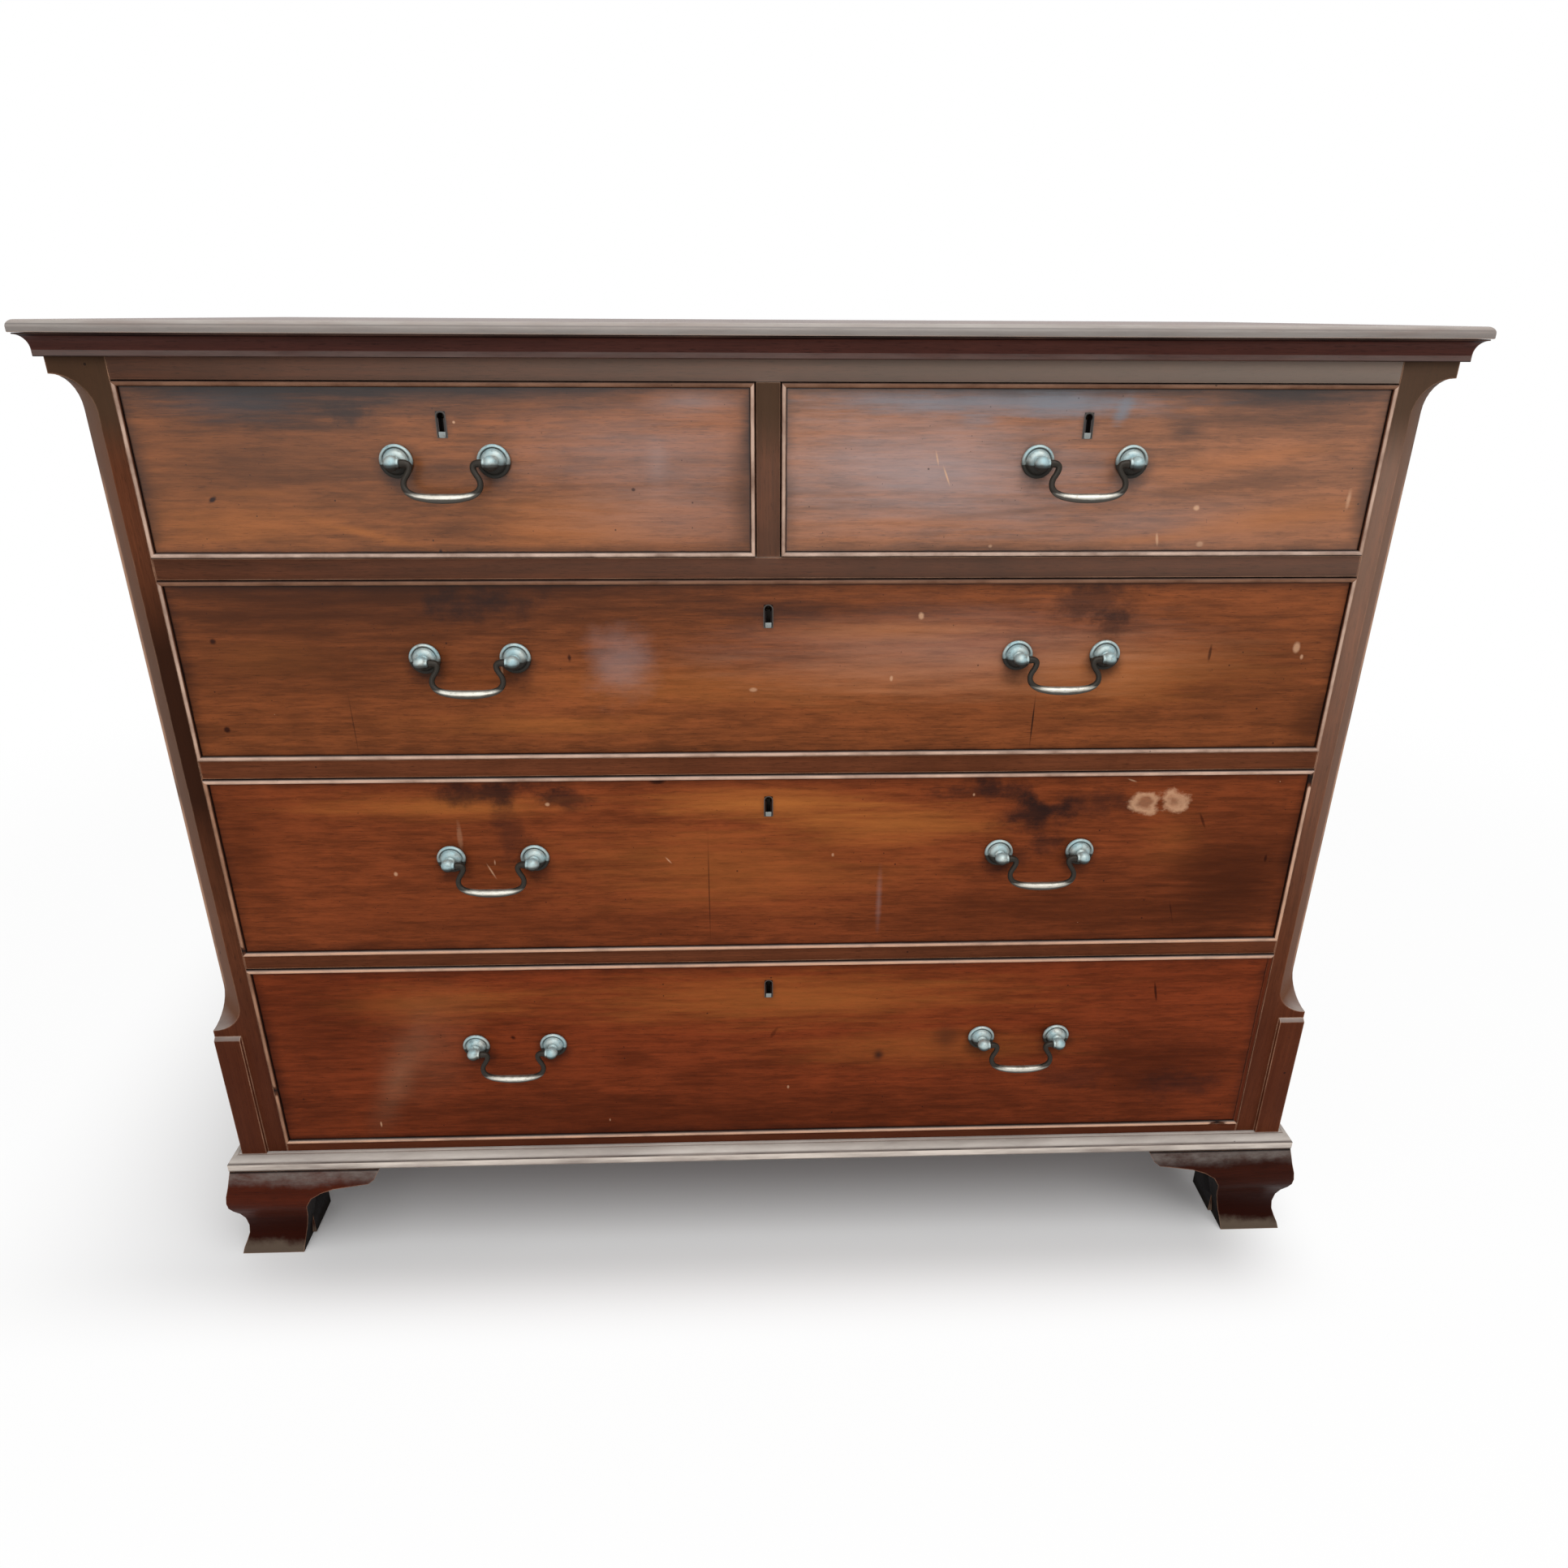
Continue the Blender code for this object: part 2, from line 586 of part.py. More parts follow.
def mouldings():
    """The cavetto under the top and the moulding over the feet."""
    top = TOP_BASE - GAP
    base = TOP_BASE - UNDER_MOULDING_HEIGHT
    fillet = UNDER_MOULDING_FILLET
    cove_radii = (
        UNDER_MOULDING_REACH - fillet, top - UNDER_MOULDING_LIP - base - fillet)
    cavetto = [(GAP, base), (fillet, base)]
    cavetto += arc((UNDER_MOULDING_REACH, base + fillet), cove_radii, 180, 90, COVE_STEPS // 2)
    cavetto += [(UNDER_MOULDING_REACH, top), (GAP, top)]
    moulding("top_moulding", cavetto, around_front(BACK_Y), UP, finish("moulding_mahogany"))

    base = FOOT_HEIGHT + GAP
    top = FOOT_HEIGHT + BASE_MOULDING_HEIGHT
    step = BASE_MOULDING_STEP
    centre = (BASE_MOULDING_LEDGE + step, base + BASE_MOULDING_FILLET)
    ovolo_radii = (BASE_MOULDING_REACH - BASE_MOULDING_QUIRK - centre[0], top - step - centre[1])
    ovolo = [(GAP, base), (BASE_MOULDING_REACH, base), (BASE_MOULDING_REACH, centre[1])]
    ovolo += arc(centre, ovolo_radii, 0, 90, COVE_STEPS // 2)
    ovolo += [(centre[0], top - step * 2), (BASE_MOULDING_LEDGE, top - step * 2)]
    ovolo += [(BASE_MOULDING_LEDGE, top), (GAP, top)]
    moulding("base_moulding", ovolo, around_front(BACK_Y), UP, finish("moulding_mahogany"))


def ogee_profile():
    """The section of a bracket: the ogee outside, a flat face inside."""
    height = FOOT_HEIGHT - GAP
    outside = [(reach * FOOT_BULGE, share * height) for share, reach in OGEE_SHARES]
    return outside + [(-FOOT_WALL, 0), (-FOOT_WALL, height)]


def scroll_outline(shares, length, height):
    """What the scroll takes away under a wing: distance from the corner, and height."""
    curve = [(along * length, up * height) for along, up in shares]
    start = [(length + OVERRUN, height), (length, height)]
    end = [(curve[-1][0], -OVERRUN), (length + OVERRUN, -OVERRUN)]
    return start + curve + end


def front_foot(name, hand):
    """Two ogee brackets mitred at the corner, cut to a scroll, with a block in the angle."""
    corner = (hand * HALF_WIDTH, FRONT_Y, 0)
    stations = [
        ((hand * HALF_WIDTH, FRONT_Y + FOOT_WING, 0), (hand, 0, 0)), (corner, (hand, -1, 0)),
        ((hand * (HALF_WIDTH - FOOT_WING), FRONT_Y, 0), (0, -1, 0)),
    ]
    foot = moulding(name, ogee_profile(), stations, UP, finish("foot_mahogany"))
    outline = scroll_outline(SCROLL_SHARES, FOOT_WING, FOOT_HEIGHT)

    def along_front(u, v, w):
        return Vector((hand * (HALF_WIDTH - u), FRONT_Y + w, v))

    def along_side(u, v, w):
        return Vector((hand * (HALF_WIDTH - w), FRONT_Y + u, v))

    reach = FOOT_BULGE + OVERRUN
    wall = FOOT_WALL + OVERRUN
    cut(foot, outline_solid(name + "_front_scroll", outline, -reach, wall, along_front))
    cut(foot, outline_solid(name + "_side_scroll", outline, -reach, wall, along_side))
    join(foot, corner_block(name + "_block", hand, FRONT_Y, 1))
    return foot


def corner_block(name, hand, edge_y, inward):
    """The square block glued in the angle of a foot."""
    near = FOOT_WALL - FOOT_BLOCK_LAP
    far = near + FOOT_BLOCK
    xs = sorted((hand * (HALF_WIDTH - near), hand * (HALF_WIDTH - far)))
    ys = sorted((edge_y + inward * near, edge_y + inward * far))
    return box(
        name, (xs[0], ys[0], FOOT_BLOCK_LIFT), (xs[1], ys[1], FOOT_HEIGHT - GAP - GAP))


def back_foot(name, hand):
    """One ogee bracket on the side, and a plain bracket across the back."""
    stations = [
        ((hand * HALF_WIDTH, BACK_Y - FOOT_WING, 0), (hand, 0, 0)),
        ((hand * HALF_WIDTH, BACK_Y, 0), (hand, 0, 0)),
    ]
    foot = moulding(name, ogee_profile(), stations, UP, finish("foot_mahogany"))

    def along_side(u, v, w):
        return Vector((hand * (HALF_WIDTH - w), BACK_Y - u, v))

    def across_back(u, v, w):
        return Vector((hand * (HALF_WIDTH - u), w, v))

    outline = scroll_outline(SCROLL_SHARES, FOOT_WING, FOOT_HEIGHT)
    reach = FOOT_BULGE + OVERRUN
    cut(foot, outline_solid(name + "_side_scroll", outline, -reach, FOOT_WALL + OVERRUN, along_side))
    height = FOOT_HEIGHT - GAP - GAP
    bracket = [(FOOT_WALL - FOOT_BLOCK_LAP, height), (BACK_BRACKET_REACH, height)]
    bracket += [(along * BACK_BRACKET_REACH, up * height) for along, up in BACK_BRACKET_SHARES]
    bracket += [(FOOT_WALL - FOOT_BLOCK_LAP, 0)]
    start = BACK_Y - BACK_BRACKET_THICKNESS
    join(foot, outline_solid(name + "_bracket", bracket, start, BACK_Y - GAP, across_back))
    inset = BACK_Y - BACK_BRACKET_THICKNESS + FOOT_WALL
    join(foot, corner_block(name + "_block", hand, inset, -1))
    return foot


def feet():
    front_foot("foot_front_left", -1)
    front_foot("foot_front_right", 1)
    back_foot("foot_back_left", -1)
    back_foot("foot_back_right", 1)


def carry(piece, empty):
    """Parent a piece to a moving body without shifting it."""
    piece.parent = empty
    piece.matrix_parent_inverse = Matrix.Translation(empty.location).inverted()


def body_empty(name, place):
    """The frame of a moving body: an empty on its joint's axis."""
    empty = bpy.data.objects.new(name, None)
    empty.location = place
    PARTS.objects.link(empty)
    return empty


def dovetails(low, high):
    """Heights of the middles of the tails along a drawer side, and the pitch between them."""
    count = max(FEWEST_DOVETAILS, round((high - low) / DOVETAIL_PITCH))
    pitch = (high - low) / count
    first = low + pitch / 2
    return [first + index * pitch for index in range(count)], pitch


def tail_outline(low, high, shoulder, tip, ease):
    """The row of tails as a stepped line from low to high, widened by ease for the sockets."""
    middles, pitch = dovetails(low, high)
    neck = pitch * DOVETAIL_NECK_SHARE / 2 + ease
    head = pitch * DOVETAIL_HEAD_SHARE / 2 + ease
    line = []
    for middle in middles:
        line += [(shoulder, middle - neck), (tip, middle - head), (tip, middle + head),
                 (shoulder, middle + neck)]
    return line


def drawer_front(name, low, high):
    """The front board, rebated round its face for the cockbead."""
    rebate = COCKBEAD_WIDTH + GAP
    back = FRONT_Y + FRONT_THICKNESS
    shelf = FRONT_Y + COCKBEAD_DEPTH + GAP
    bm = block((low[0], shelf, low[1]), (high[0], back, high[1]))
    face = min(bm.faces, key=lambda item: item.calc_center_median().y)
    bmesh.ops.inset_region(bm, faces=[face], thickness=rebate, use_even_offset=True)
    raised = bmesh.ops.extrude_face_region(bm, geom=[face])["geom"]
    bmesh.ops.delete(bm, geom=[face], context="FACES_ONLY")
    bmesh.ops.translate(
        bm, vec=Vector((0, FRONT_Y - shelf, 0)),
        verts=[item for item in raised if isinstance(item, bmesh.types.BMVert)])
    return mesh_object(name, bm, finish("drawer_mahogany"))


def cockbead(name, low, high):
    """The bead let in round the drawer front, mitred at its corners, with a round nose."""
    width = COCKBEAD_WIDTH
    back = FRONT_Y + COCKBEAD_DEPTH
    nose = FRONT_Y - COCKBEAD_PROUD + width / 2
    profile = [(0, back)] + arc((width / 2, nose), (width / 2, width / 2), 180, 360, COCKBEAD_STEPS)
    profile += [(width, back)]
    stations = [
        ((low[0], 0, low[1]), (1, 0, 1)), ((low[0], 0, high[1]), (1, 0, -1)),
        ((high[0], 0, high[1]), (-1, 0, -1)), ((high[0], 0, low[1]), (-1, 0, 1)),
    ]
    return moulding(name, profile, stations, INWARD, finish("bead_mahogany"), closed=True)


def drawer_box(name, low, high):
    """Sides, back and bottom; the sides end in tails that seat in the front's sockets."""
    shoulder = FRONT_Y + FRONT_THICKNESS + GAP
    tip = FRONT_Y + FRONT_THICKNESS - DOVETAIL_LENGTH
    end = FRONT_Y + DRAWER_LENGTH
    base = low[1] - DRAWER_CLEARANCE + GAP
    top = high[1] - DRAWER_SIDE_DROP
    outline = [(end, base), (shoulder, base)]
    outline += tail_outline(low[1], top, shoulder, tip, 0)
    outline += [(shoulder, top), (end, top)]
    surface = finish("oak")
    left = outline_solid(name, outline, low[0], low[0] + DRAWER_SIDE, across, surface)
    right = outline_solid(name + "_right", outline, high[0] - DRAWER_SIDE, high[0], across)
    lap = DRAWER_SIDE / 2
    back = box(
        name + "_back", (low[0] + lap, end - DRAWER_BACK, base + DRAWER_BOTTOM_LIFT),
        (high[0] - lap, end - GAP, top - DRAWER_BACK_DROP))
    floor = base + DRAWER_BOTTOM_LIFT
    bottom = box(
        name + "_bottom", (low[0] + lap, shoulder + GAP, floor + GAP),
        (high[0] - lap, end - DRAWER_BACK / 2, floor + DRAWER_BOTTOM))
    join(left, back, right, bottom)
    return left


def socket_cutter(name, low, high, inner, outer):
    """The sockets for one row of tails, open at the end and the back of the drawer front."""
    shoulder = FRONT_Y + FRONT_THICKNESS + GAP
    tip = FRONT_Y + FRONT_THICKNESS - DOVETAIL_LENGTH - GAP
    outline = [(shoulder + OVERRUN, low)]
    outline += tail_outline(low, high, shoulder, tip, GAP)
    outline += [(shoulder + OVERRUN, high)]
    return outline_solid(name, outline, inner, outer, across)


def keyhole_cutter(name, middle, height):
    """The key's way through the drawer front: a round hole over a slot."""
    reach = (FRONT_Y - OVERRUN, FRONT_Y + FRONT_THICKNESS - LOCK_DEPTH + OVERRUN / 2)
    half = KEY_SLOT_WIDTH / 2
    start = math.degrees(math.asin(half / KEY_HOLE_RADIUS))
    outline = [
        (middle - half, height - KEY_SLOT_LENGTH), (middle + half, height - KEY_SLOT_LENGTH)]
    outline += arc(
        (middle, height), (KEY_HOLE_RADIUS, KEY_HOLE_RADIUS), start - 90, 270 - start, TURNING_STEPS)
    return outline_solid(name, outline, reach[0], reach[1], backward)


def lock_mortice(name, middle, top):
    """The room for the lock: a pocket in the back, and a shallow one in the top edge."""
    back = FRONT_Y + FRONT_THICKNESS
    pockets = []
    for part, width, depth in (
            ("_case", LOCK_WIDTH, LOCK_HEIGHT), ("_plate", SELVEDGE_WIDTH, SELVEDGE_THICKNESS)):
        half = width / 2 + GAP
        pockets.append(box(
            name + part, (middle - half, back - LOCK_DEPTH - GAP, top - depth - GAP),
            (middle + half, back + OVERRUN, top + OVERRUN)))
    return pockets


def lock(name, middle, top):
    """The lock's case with its top plate, its keyhole and the pin that the key turns on."""
    back = FRONT_Y + FRONT_THICKNESS
    face = back - LOCK_DEPTH
    case = box(
        name, (middle - LOCK_WIDTH / 2, face, top - LOCK_HEIGHT),
        (middle + LOCK_WIDTH / 2, back - GAP, top - SELVEDGE_THICKNESS / 2), finish("lock_brass"))
    join(case, box(
        name + "_selvedge", (middle - SELVEDGE_WIDTH / 2, face + GAP, top - SELVEDGE_THICKNESS),
        (middle + SELVEDGE_WIDTH / 2, back - GAP - GAP, top)))
    key_height = top - KEY_DROP
    way = cylinder(
        name + "_keyway", (middle, face, key_height), (0, 1, 0), KEY_HOLE_RADIUS, LOCK_DEPTH)
    pin_middle = face + LOCK_DEPTH / 4
    pin = cylinder(
        name + "_pin", (middle, pin_middle, key_height), (0, 1, 0), KEY_PIN_RADIUS, LOCK_DEPTH,
        KEY_PIN_SIDES)
    cut(case, way)
    join(case, pin)
    return case


def post_master(name, inner):
    """A rose, its post with a ball head, the shank through the front and the nut behind it.

    The profile is turned about the post's own axis. The head has a blind hole on the side that
    faces the other post, for the end of the bail.
    """
    head = POST_HEAD_RADIUS
    meet = math.degrees(math.asin(POST_NECK_RADIUS / head))
    ball = arc((0, PIN_REACH), (head, head), 90, meet - 90, BALL_STEPS)
    dome = arc((0, ROSE_EDGE), (ROSE_RADIUS, ROSE_HEIGHT - ROSE_EDGE), DOME_RISE, 0, DOME_STEPS)
    nut_face = -FRONT_THICKNESS - GAP
    profile = ball + [(POST_NECK_RADIUS, ROSE_HEIGHT)] + dome
    profile += [
        (ROSE_RADIUS, GAP), (SHANK_RADIUS, GAP), (SHANK_RADIUS, nut_face), (NUT_RADIUS, nut_face),
        (NUT_RADIUS, nut_face - NUT_THICKNESS), (0, nut_face - NUT_THICKNESS)]
    profile[0] = (0, PIN_REACH + head)
    bm = bmesh.new()
    verts = [bm.verts.new((radius, 0, height)) for radius, height in profile]
    for first, second in zip(verts, verts[1:]):
        bm.edges.new((first, second))
    mesh = bpy.data.meshes.new(name)
    bm.to_mesh(mesh)
    bm.free()
    post = bpy.data.objects.new(name, mesh)
    CUTTERS.objects.link(post)
    screw = post.modifiers.new("turned", "SCREW")
    screw.steps = TURNING_STEPS
    screw.render_steps = TURNING_STEPS
    screw.use_merge_vertices = True
    screw.merge_threshold = GAP / 10
    hole = cylinder(
        name + "_pin_hole", (inner * (head + OVERRUN / 2), 0, PIN_REACH), (1, 0, 0),
        PIN_HOLE_RADIUS, (PIN_HOLE_DEPTH + OVERRUN / 2) * 2)
    cut(post, hole)
    bpy.context.view_layer.update()
    depsgraph = bpy.context.evaluated_depsgraph_get()
    turned = bpy.data.meshes.new_from_object(post.evaluated_get(depsgraph))
    bpy.data.objects.remove(post, do_unlink=True)
    bpy.data.objects.remove(hole, do_unlink=True)
    turned.materials.clear()
    turned.materials.append(finish("brass")(name))
    turned.shade_smooth()
    turned.set_sharp_from_angle(angle=CREASE)
    return turned


def bail_curve(name):
    """The swan-neck bail: pins that point outwards, necks that curl back, and a swelling grip."""
    curve = bpy.data.curves.new(name, "CURVE")
    curve.dimensions = "3D"
    curve.fill_mode = "FULL"
    curve.bevel_depth = BAIL_GRIP_RADIUS
    curve.bevel_resolution = 2
    curve.use_fill_caps = True
    mirrored = [(-x, drop, thick) for x, drop, thick in reversed(BAIL_SHARES)]
    shares = list(BAIL_SHARES) + [(0, 1, 1)] + mirrored
    spline = curve.splines.new("POLY")
    spline.points.add(len(shares) - 1)
    for point, (x, drop, thick) in zip(spline.points, shares):
        point.co = (x * HANDLE_SPACING / 2, -drop * BAIL_BOW, -drop * BAIL_DROP, 1)
        point.radius = thick
    curve.materials.append(finish("brass")(name))
    return curve


def handle(prefix, middle, height, body, posts, bail):
    """Two posts and the bail that swings between them."""
    for part, hand in (("post_left", -1), ("post_right", 1)):
        post = add_object(prefix + "_" + part, posts[hand], finish("brass"))
        post.location = (middle + hand * HANDLE_SPACING / 2, FRONT_Y, height)
        post.rotation_euler = (math.radians(90), 0, 0)
        carry(post, body)
    swing = add_object(prefix + "_bail", bail, finish("brass"))
    swing.location = (middle, FRONT_Y - PIN_REACH, height)
    carry(swing, body)


def drawer(prefix, opening, handles, lift, posts, bail):
    """A whole drawer in its opening: left and right, base and top."""
    left, right, base, top = opening
    low = (left + DRAWER_CLEARANCE, base + DRAWER_CLEARANCE)
    high = (right - DRAWER_CLEARANCE, top - DRAWER_CLEARANCE)
    middle = (left + right) / 2
    height = (base + top) / 2 + lift
    body = body_empty("drawer_" + prefix, (middle, FRONT_Y, (base + top) / 2))

    front = drawer_front(prefix + "_front", low, high)
    tails_top = high[1] - DRAWER_SIDE_DROP
    inner = DRAWER_SIDE + GAP
    for span in ((low[0] - OVERRUN, low[0] + inner), (high[0] - inner, high[0] + OVERRUN)):
        cut(front, socket_cutter(prefix + "_sockets", low[1], tails_top, *span))
    cut(front, *lock_mortice(prefix + "_mortice", middle, high[1]))
    cut(front, keyhole_cutter(prefix + "_keyhole", middle, high[1] - KEY_DROP))
    for handle_middle in handles:
        for hand in (-1, 1):
            cut(front, cylinder(
                prefix + "_shank_hole",
                (handle_middle + hand * HANDLE_SPACING / 2, FRONT_Y + FRONT_THICKNESS / 2, height),
                (0, 1, 0), SHANK_HOLE_RADIUS, FRONT_THICKNESS + OVERRUN * 2))
    pieces = [
        front, cockbead(prefix + "_cockbead", low, high), drawer_box(prefix + "_box", low, high),
        lock(prefix + "_lock", middle, high[1]),
    ]
    for piece in pieces:
        carry(piece, body)
    for handle_middle in handles:
        name = prefix
        if len(handles) > 1:
            name += "_left" if handle_middle < middle else "_right"
        handle(name, handle_middle, height, body, posts, bail)


def drawers():
    """Two short drawers over three long ones."""
    posts = {-1: post_master("post_left", 1), 1: post_master("post_right", -1)}
    bail = bail_curve("bail")
    half = MUNTIN_WIDTH / 2
    short_row = (("top_left", (-HALF_OPENING, -half)), ("top_right", (half, HALF_OPENING)))
    for prefix, ends in short_row:
        opening = (*ends, UPPER_RAIL_TOP, FRIEZE_BASE)
        drawer(prefix, opening, (sum(ends) / 2,), TOP_HANDLE_LIFT, posts, bail)
    long_rows = (
        ("upper", (MIDDLE_RAIL_TOP, UPPER_RAIL_BASE), UPPER_HANDLE_LIFT),
        ("middle", (LOWER_RAIL_TOP, MIDDLE_RAIL_BASE), MIDDLE_HANDLE_LIFT),
        ("lower", (BOTTOM_TOP, LOWER_RAIL_BASE), LOWER_HANDLE_LIFT),
    )
    for prefix, heights, lift in long_rows:
        opening = (-HALF_OPENING, HALF_OPENING, *heights)
        drawer(prefix, opening, (-HANDLE_OFFSET, HANDLE_OFFSET), lift, posts, bail)


carcass()
top_board()
mouldings()
feet()
drawers()
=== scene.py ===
"""Dresses the chest of drawers: its fine shapes, its finishes, the room's light and the camera.

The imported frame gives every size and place. Each operator makes one piece or group of like pieces
and hangs it on the body that carries it; the last part of the file calls them in order.
"""

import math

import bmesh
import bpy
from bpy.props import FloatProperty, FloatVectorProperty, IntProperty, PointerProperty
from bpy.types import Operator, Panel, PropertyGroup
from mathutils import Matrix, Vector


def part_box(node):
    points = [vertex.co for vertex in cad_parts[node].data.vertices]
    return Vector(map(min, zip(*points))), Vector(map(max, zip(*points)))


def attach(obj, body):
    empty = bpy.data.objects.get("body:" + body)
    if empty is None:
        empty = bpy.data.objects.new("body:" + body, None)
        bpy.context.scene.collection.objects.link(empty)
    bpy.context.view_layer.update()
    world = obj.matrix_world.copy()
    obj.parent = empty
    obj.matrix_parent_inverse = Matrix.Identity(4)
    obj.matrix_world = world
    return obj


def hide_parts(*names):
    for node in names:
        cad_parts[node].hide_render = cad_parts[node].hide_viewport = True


bl_info = {
    "name": "Chest of Drawers Dressing",
    "version": (1, 0, 0),
    "blender": (4, 5, 0),
    "location": "3D View > Sidebar > Chest",
    "description": "Models the fine pieces and the finishes of a mahogany chest of drawers",
    "category": "Object",
}

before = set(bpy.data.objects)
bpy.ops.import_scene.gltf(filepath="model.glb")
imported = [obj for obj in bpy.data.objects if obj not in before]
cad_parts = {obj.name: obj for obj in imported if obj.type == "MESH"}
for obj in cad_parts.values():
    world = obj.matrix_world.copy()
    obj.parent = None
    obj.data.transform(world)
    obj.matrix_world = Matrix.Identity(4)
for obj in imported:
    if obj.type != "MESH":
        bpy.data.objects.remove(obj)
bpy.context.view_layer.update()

# Drawers and the handles that each one carries
DRAWERS = {
    "top_left": ("top_left",),
    "top_right": ("top_right",),
    "upper": ("upper_left", "upper_right"),
    "middle": ("middle_left", "middle_right"),
    "lower": ("lower_left", "lower_right"),
}

HANDS = ("left", "right")

# Places read from the frame
FRONT_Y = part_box("muntin")[0].y
BACK_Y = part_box("back_panel")[1].y
HALF_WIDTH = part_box("side_right")[1].x
FOOT_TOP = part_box("bottom_board")[0].z
TOP_LOW, TOP_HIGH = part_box("top_board")
UNDER_LOW, UNDER_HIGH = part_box("top_moulding")
BASE_LOW, BASE_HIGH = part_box("base_moulding")
BASE_FILLET_SHARE = 0.56        # how much of the base moulding's height its flat fillet takes
BASE_FILLET = BASE_LOW.z + (BASE_HIGH.z - BASE_LOW.z) * BASE_FILLET_SHARE

MERGE = 0.00001                 # corners nearer than this are one
HAIR = 0.0001                   # a gap or step too small to see
RUBBED_AND_LIT = "worn"                   # the attribute that says how rubbed and lit the brass is, from 0 to 1; low is painted shade
ZERO = (0.0, 0.0, 0.0)
WHITE = (1.0, 1.0, 1.0)

# The keyhole: its middle below the top of the front, half the width of its brass ring, how far the
# ring goes below that middle, and the pale sill at the ring's foot, a painted highlight
KEY_DROP = 0.0252
RING_HALF = 0.0041
RING_DROP = 0.0161
SILL_HALF = 0.0026
SILL_HEIGHT = 0.0046


# Values to choose

def colour_property(name, *display):
    """A colour, given as the display's 0 to 255 and kept as a shader's linear values."""
    linear = []
    for value in display:
        value /= 255
        linear.append(value / 12.92 if value <= 0.04045 else ((value + 0.055) / 1.055) ** 2.4)
    return FloatVectorProperty(name=name, subtype="COLOR", size=3, min=0, max=1, default=linear)


def length_property(name, default):
    return FloatProperty(name=name, default=default, min=0, unit="LENGTH", precision=5)


def angle_property(name, degrees):
    return FloatProperty(name=name, subtype="ANGLE", default=math.radians(degrees))


class CHEST_PG_colours(PropertyGroup):
    """Colours of the woods, the stains on them, the brass and the floor."""
    top_left: colour_property("Mahogany of the left short front", 126, 74, 40)
    top_right: colour_property("Mahogany of the right short front", 136, 86, 56)
    upper: colour_property("Mahogany of the upper long front", 119, 64, 33)
    middle: colour_property("Mahogany of the middle long front", 116, 56, 28)
    lower: colour_property("Mahogany of the lower long front", 110, 48, 23)
    carcass: colour_property("Mahogany of posts, rails and sides", 82, 44, 26)
    top: colour_property("Mahogany of the top board", 92, 58, 42)
    moulding: colour_property("Mahogany of the mouldings", 66, 36, 30)
    foot: colour_property("Mahogany of the bracket feet", 70, 27, 14)
    bead: colour_property("Mahogany of the cockbeads", 82, 48, 32)
    oak: colour_property("Oak of the drawers' sides and bottoms", 158, 122, 80)
    pine: colour_property("Pine of the back and the dustboards", 140, 104, 66)
    stain: colour_property("Old ink and damp stains", 26, 20, 20)
    # Also laid as a painted sheen of the bright room on the short fronts
    bloom: colour_property("Milky bloom in the polish", 170, 158, 160)
    # Also painted as a sheen of the bright room at the tops of the short fronts
    slate: colour_property("Grey-blue haze where the polish has turned", 112, 116, 124)
    amber: colour_property("Stripes of lighter figure", 172, 102, 48)
    ring: colour_property("Pale scratches, chips and ring marks", 204, 160, 126)
    # Also the colour of the painted sheen of the sky on what faces up
    dust: colour_property("Dry dust and rubbed polish on upward edges", 198, 190, 182)
    worn: colour_property("Bare rubbed wood on arrises", 204, 156, 126)
    brass: colour_property("Rubbed brass of the bails", 204, 193, 178)
    patina: colour_property("Blue-green bloom on the brass", 154, 180, 184)
    # Also painted as shade on the brass's undersides, lower parts and the locks' faces
    tarnish_and_shade: colour_property("Dark undersides of the brass", 38, 33, 28)
    lock: colour_property("Dull brass of the locks", 150, 124, 72)
    iron: colour_property("Iron of nails and screws", 52, 46, 42)
    floor: colour_property("The plain pale floor", 240, 240, 240)


class CHEST_PG_sizes(PropertyGroup):
    """Sizes that only the fine pieces have."""
    ease: length_property("Rounding of the carcass's arrises", 0.0007)
    foot_ease: length_property("Rounding of the feet's arrises", 0.0012)
    bead_nose: length_property("Radius of the cockbead's round nose", 0.00175)
    bead_width: length_property("Width of the cockbead's strips", 0.0038)
    bead_wander: length_property("How far the old beads waver", 0.00014)
    thread_wall: length_property("Width of the brass ring round a keyhole", 0.0007)
    thread_depth: length_property("How proud the brass ring stands", 0.0003)
    bail_grip: length_property("Radius of the bail's swelling grip", 0.0038)
    nail_radius: length_property("Radius of a nail's head", 0.0028)
    screw_radius: length_property("Radius of a lock screw's head", 0.0032)
    turning_steps: IntProperty(name="Faces round a turned piece", default=40, min=8, max=128)


class CHEST_PG_stage(PropertyGroup):
    """The camera and the light."""
    distance: length_property("From the lens to the drawer fronts", 0.887)
    height: length_property("Lens above the floor", 0.9207)
    shift: length_property("Lens to the left of the middle", 0.0198)
    yaw: angle_property("Turn of the camera to the right", 2.18)
    tilt: angle_property("How far the camera looks down", 23.61)
    roll: angle_property("Turn of the camera about its own axis", 0.31)
    lens: FloatProperty(name="Focal length for a 36 mm sensor, in millimetres", default=24.69)
    sky: FloatProperty(name="Strength of the even light", default=0.46, min=0)
    lamp: FloatProperty(name="Power of the soft overhead lamp", default=46, min=0)
    fill: FloatProperty(name="Power of the soft lamp in front", default=20, min=0)


# Shader graphs

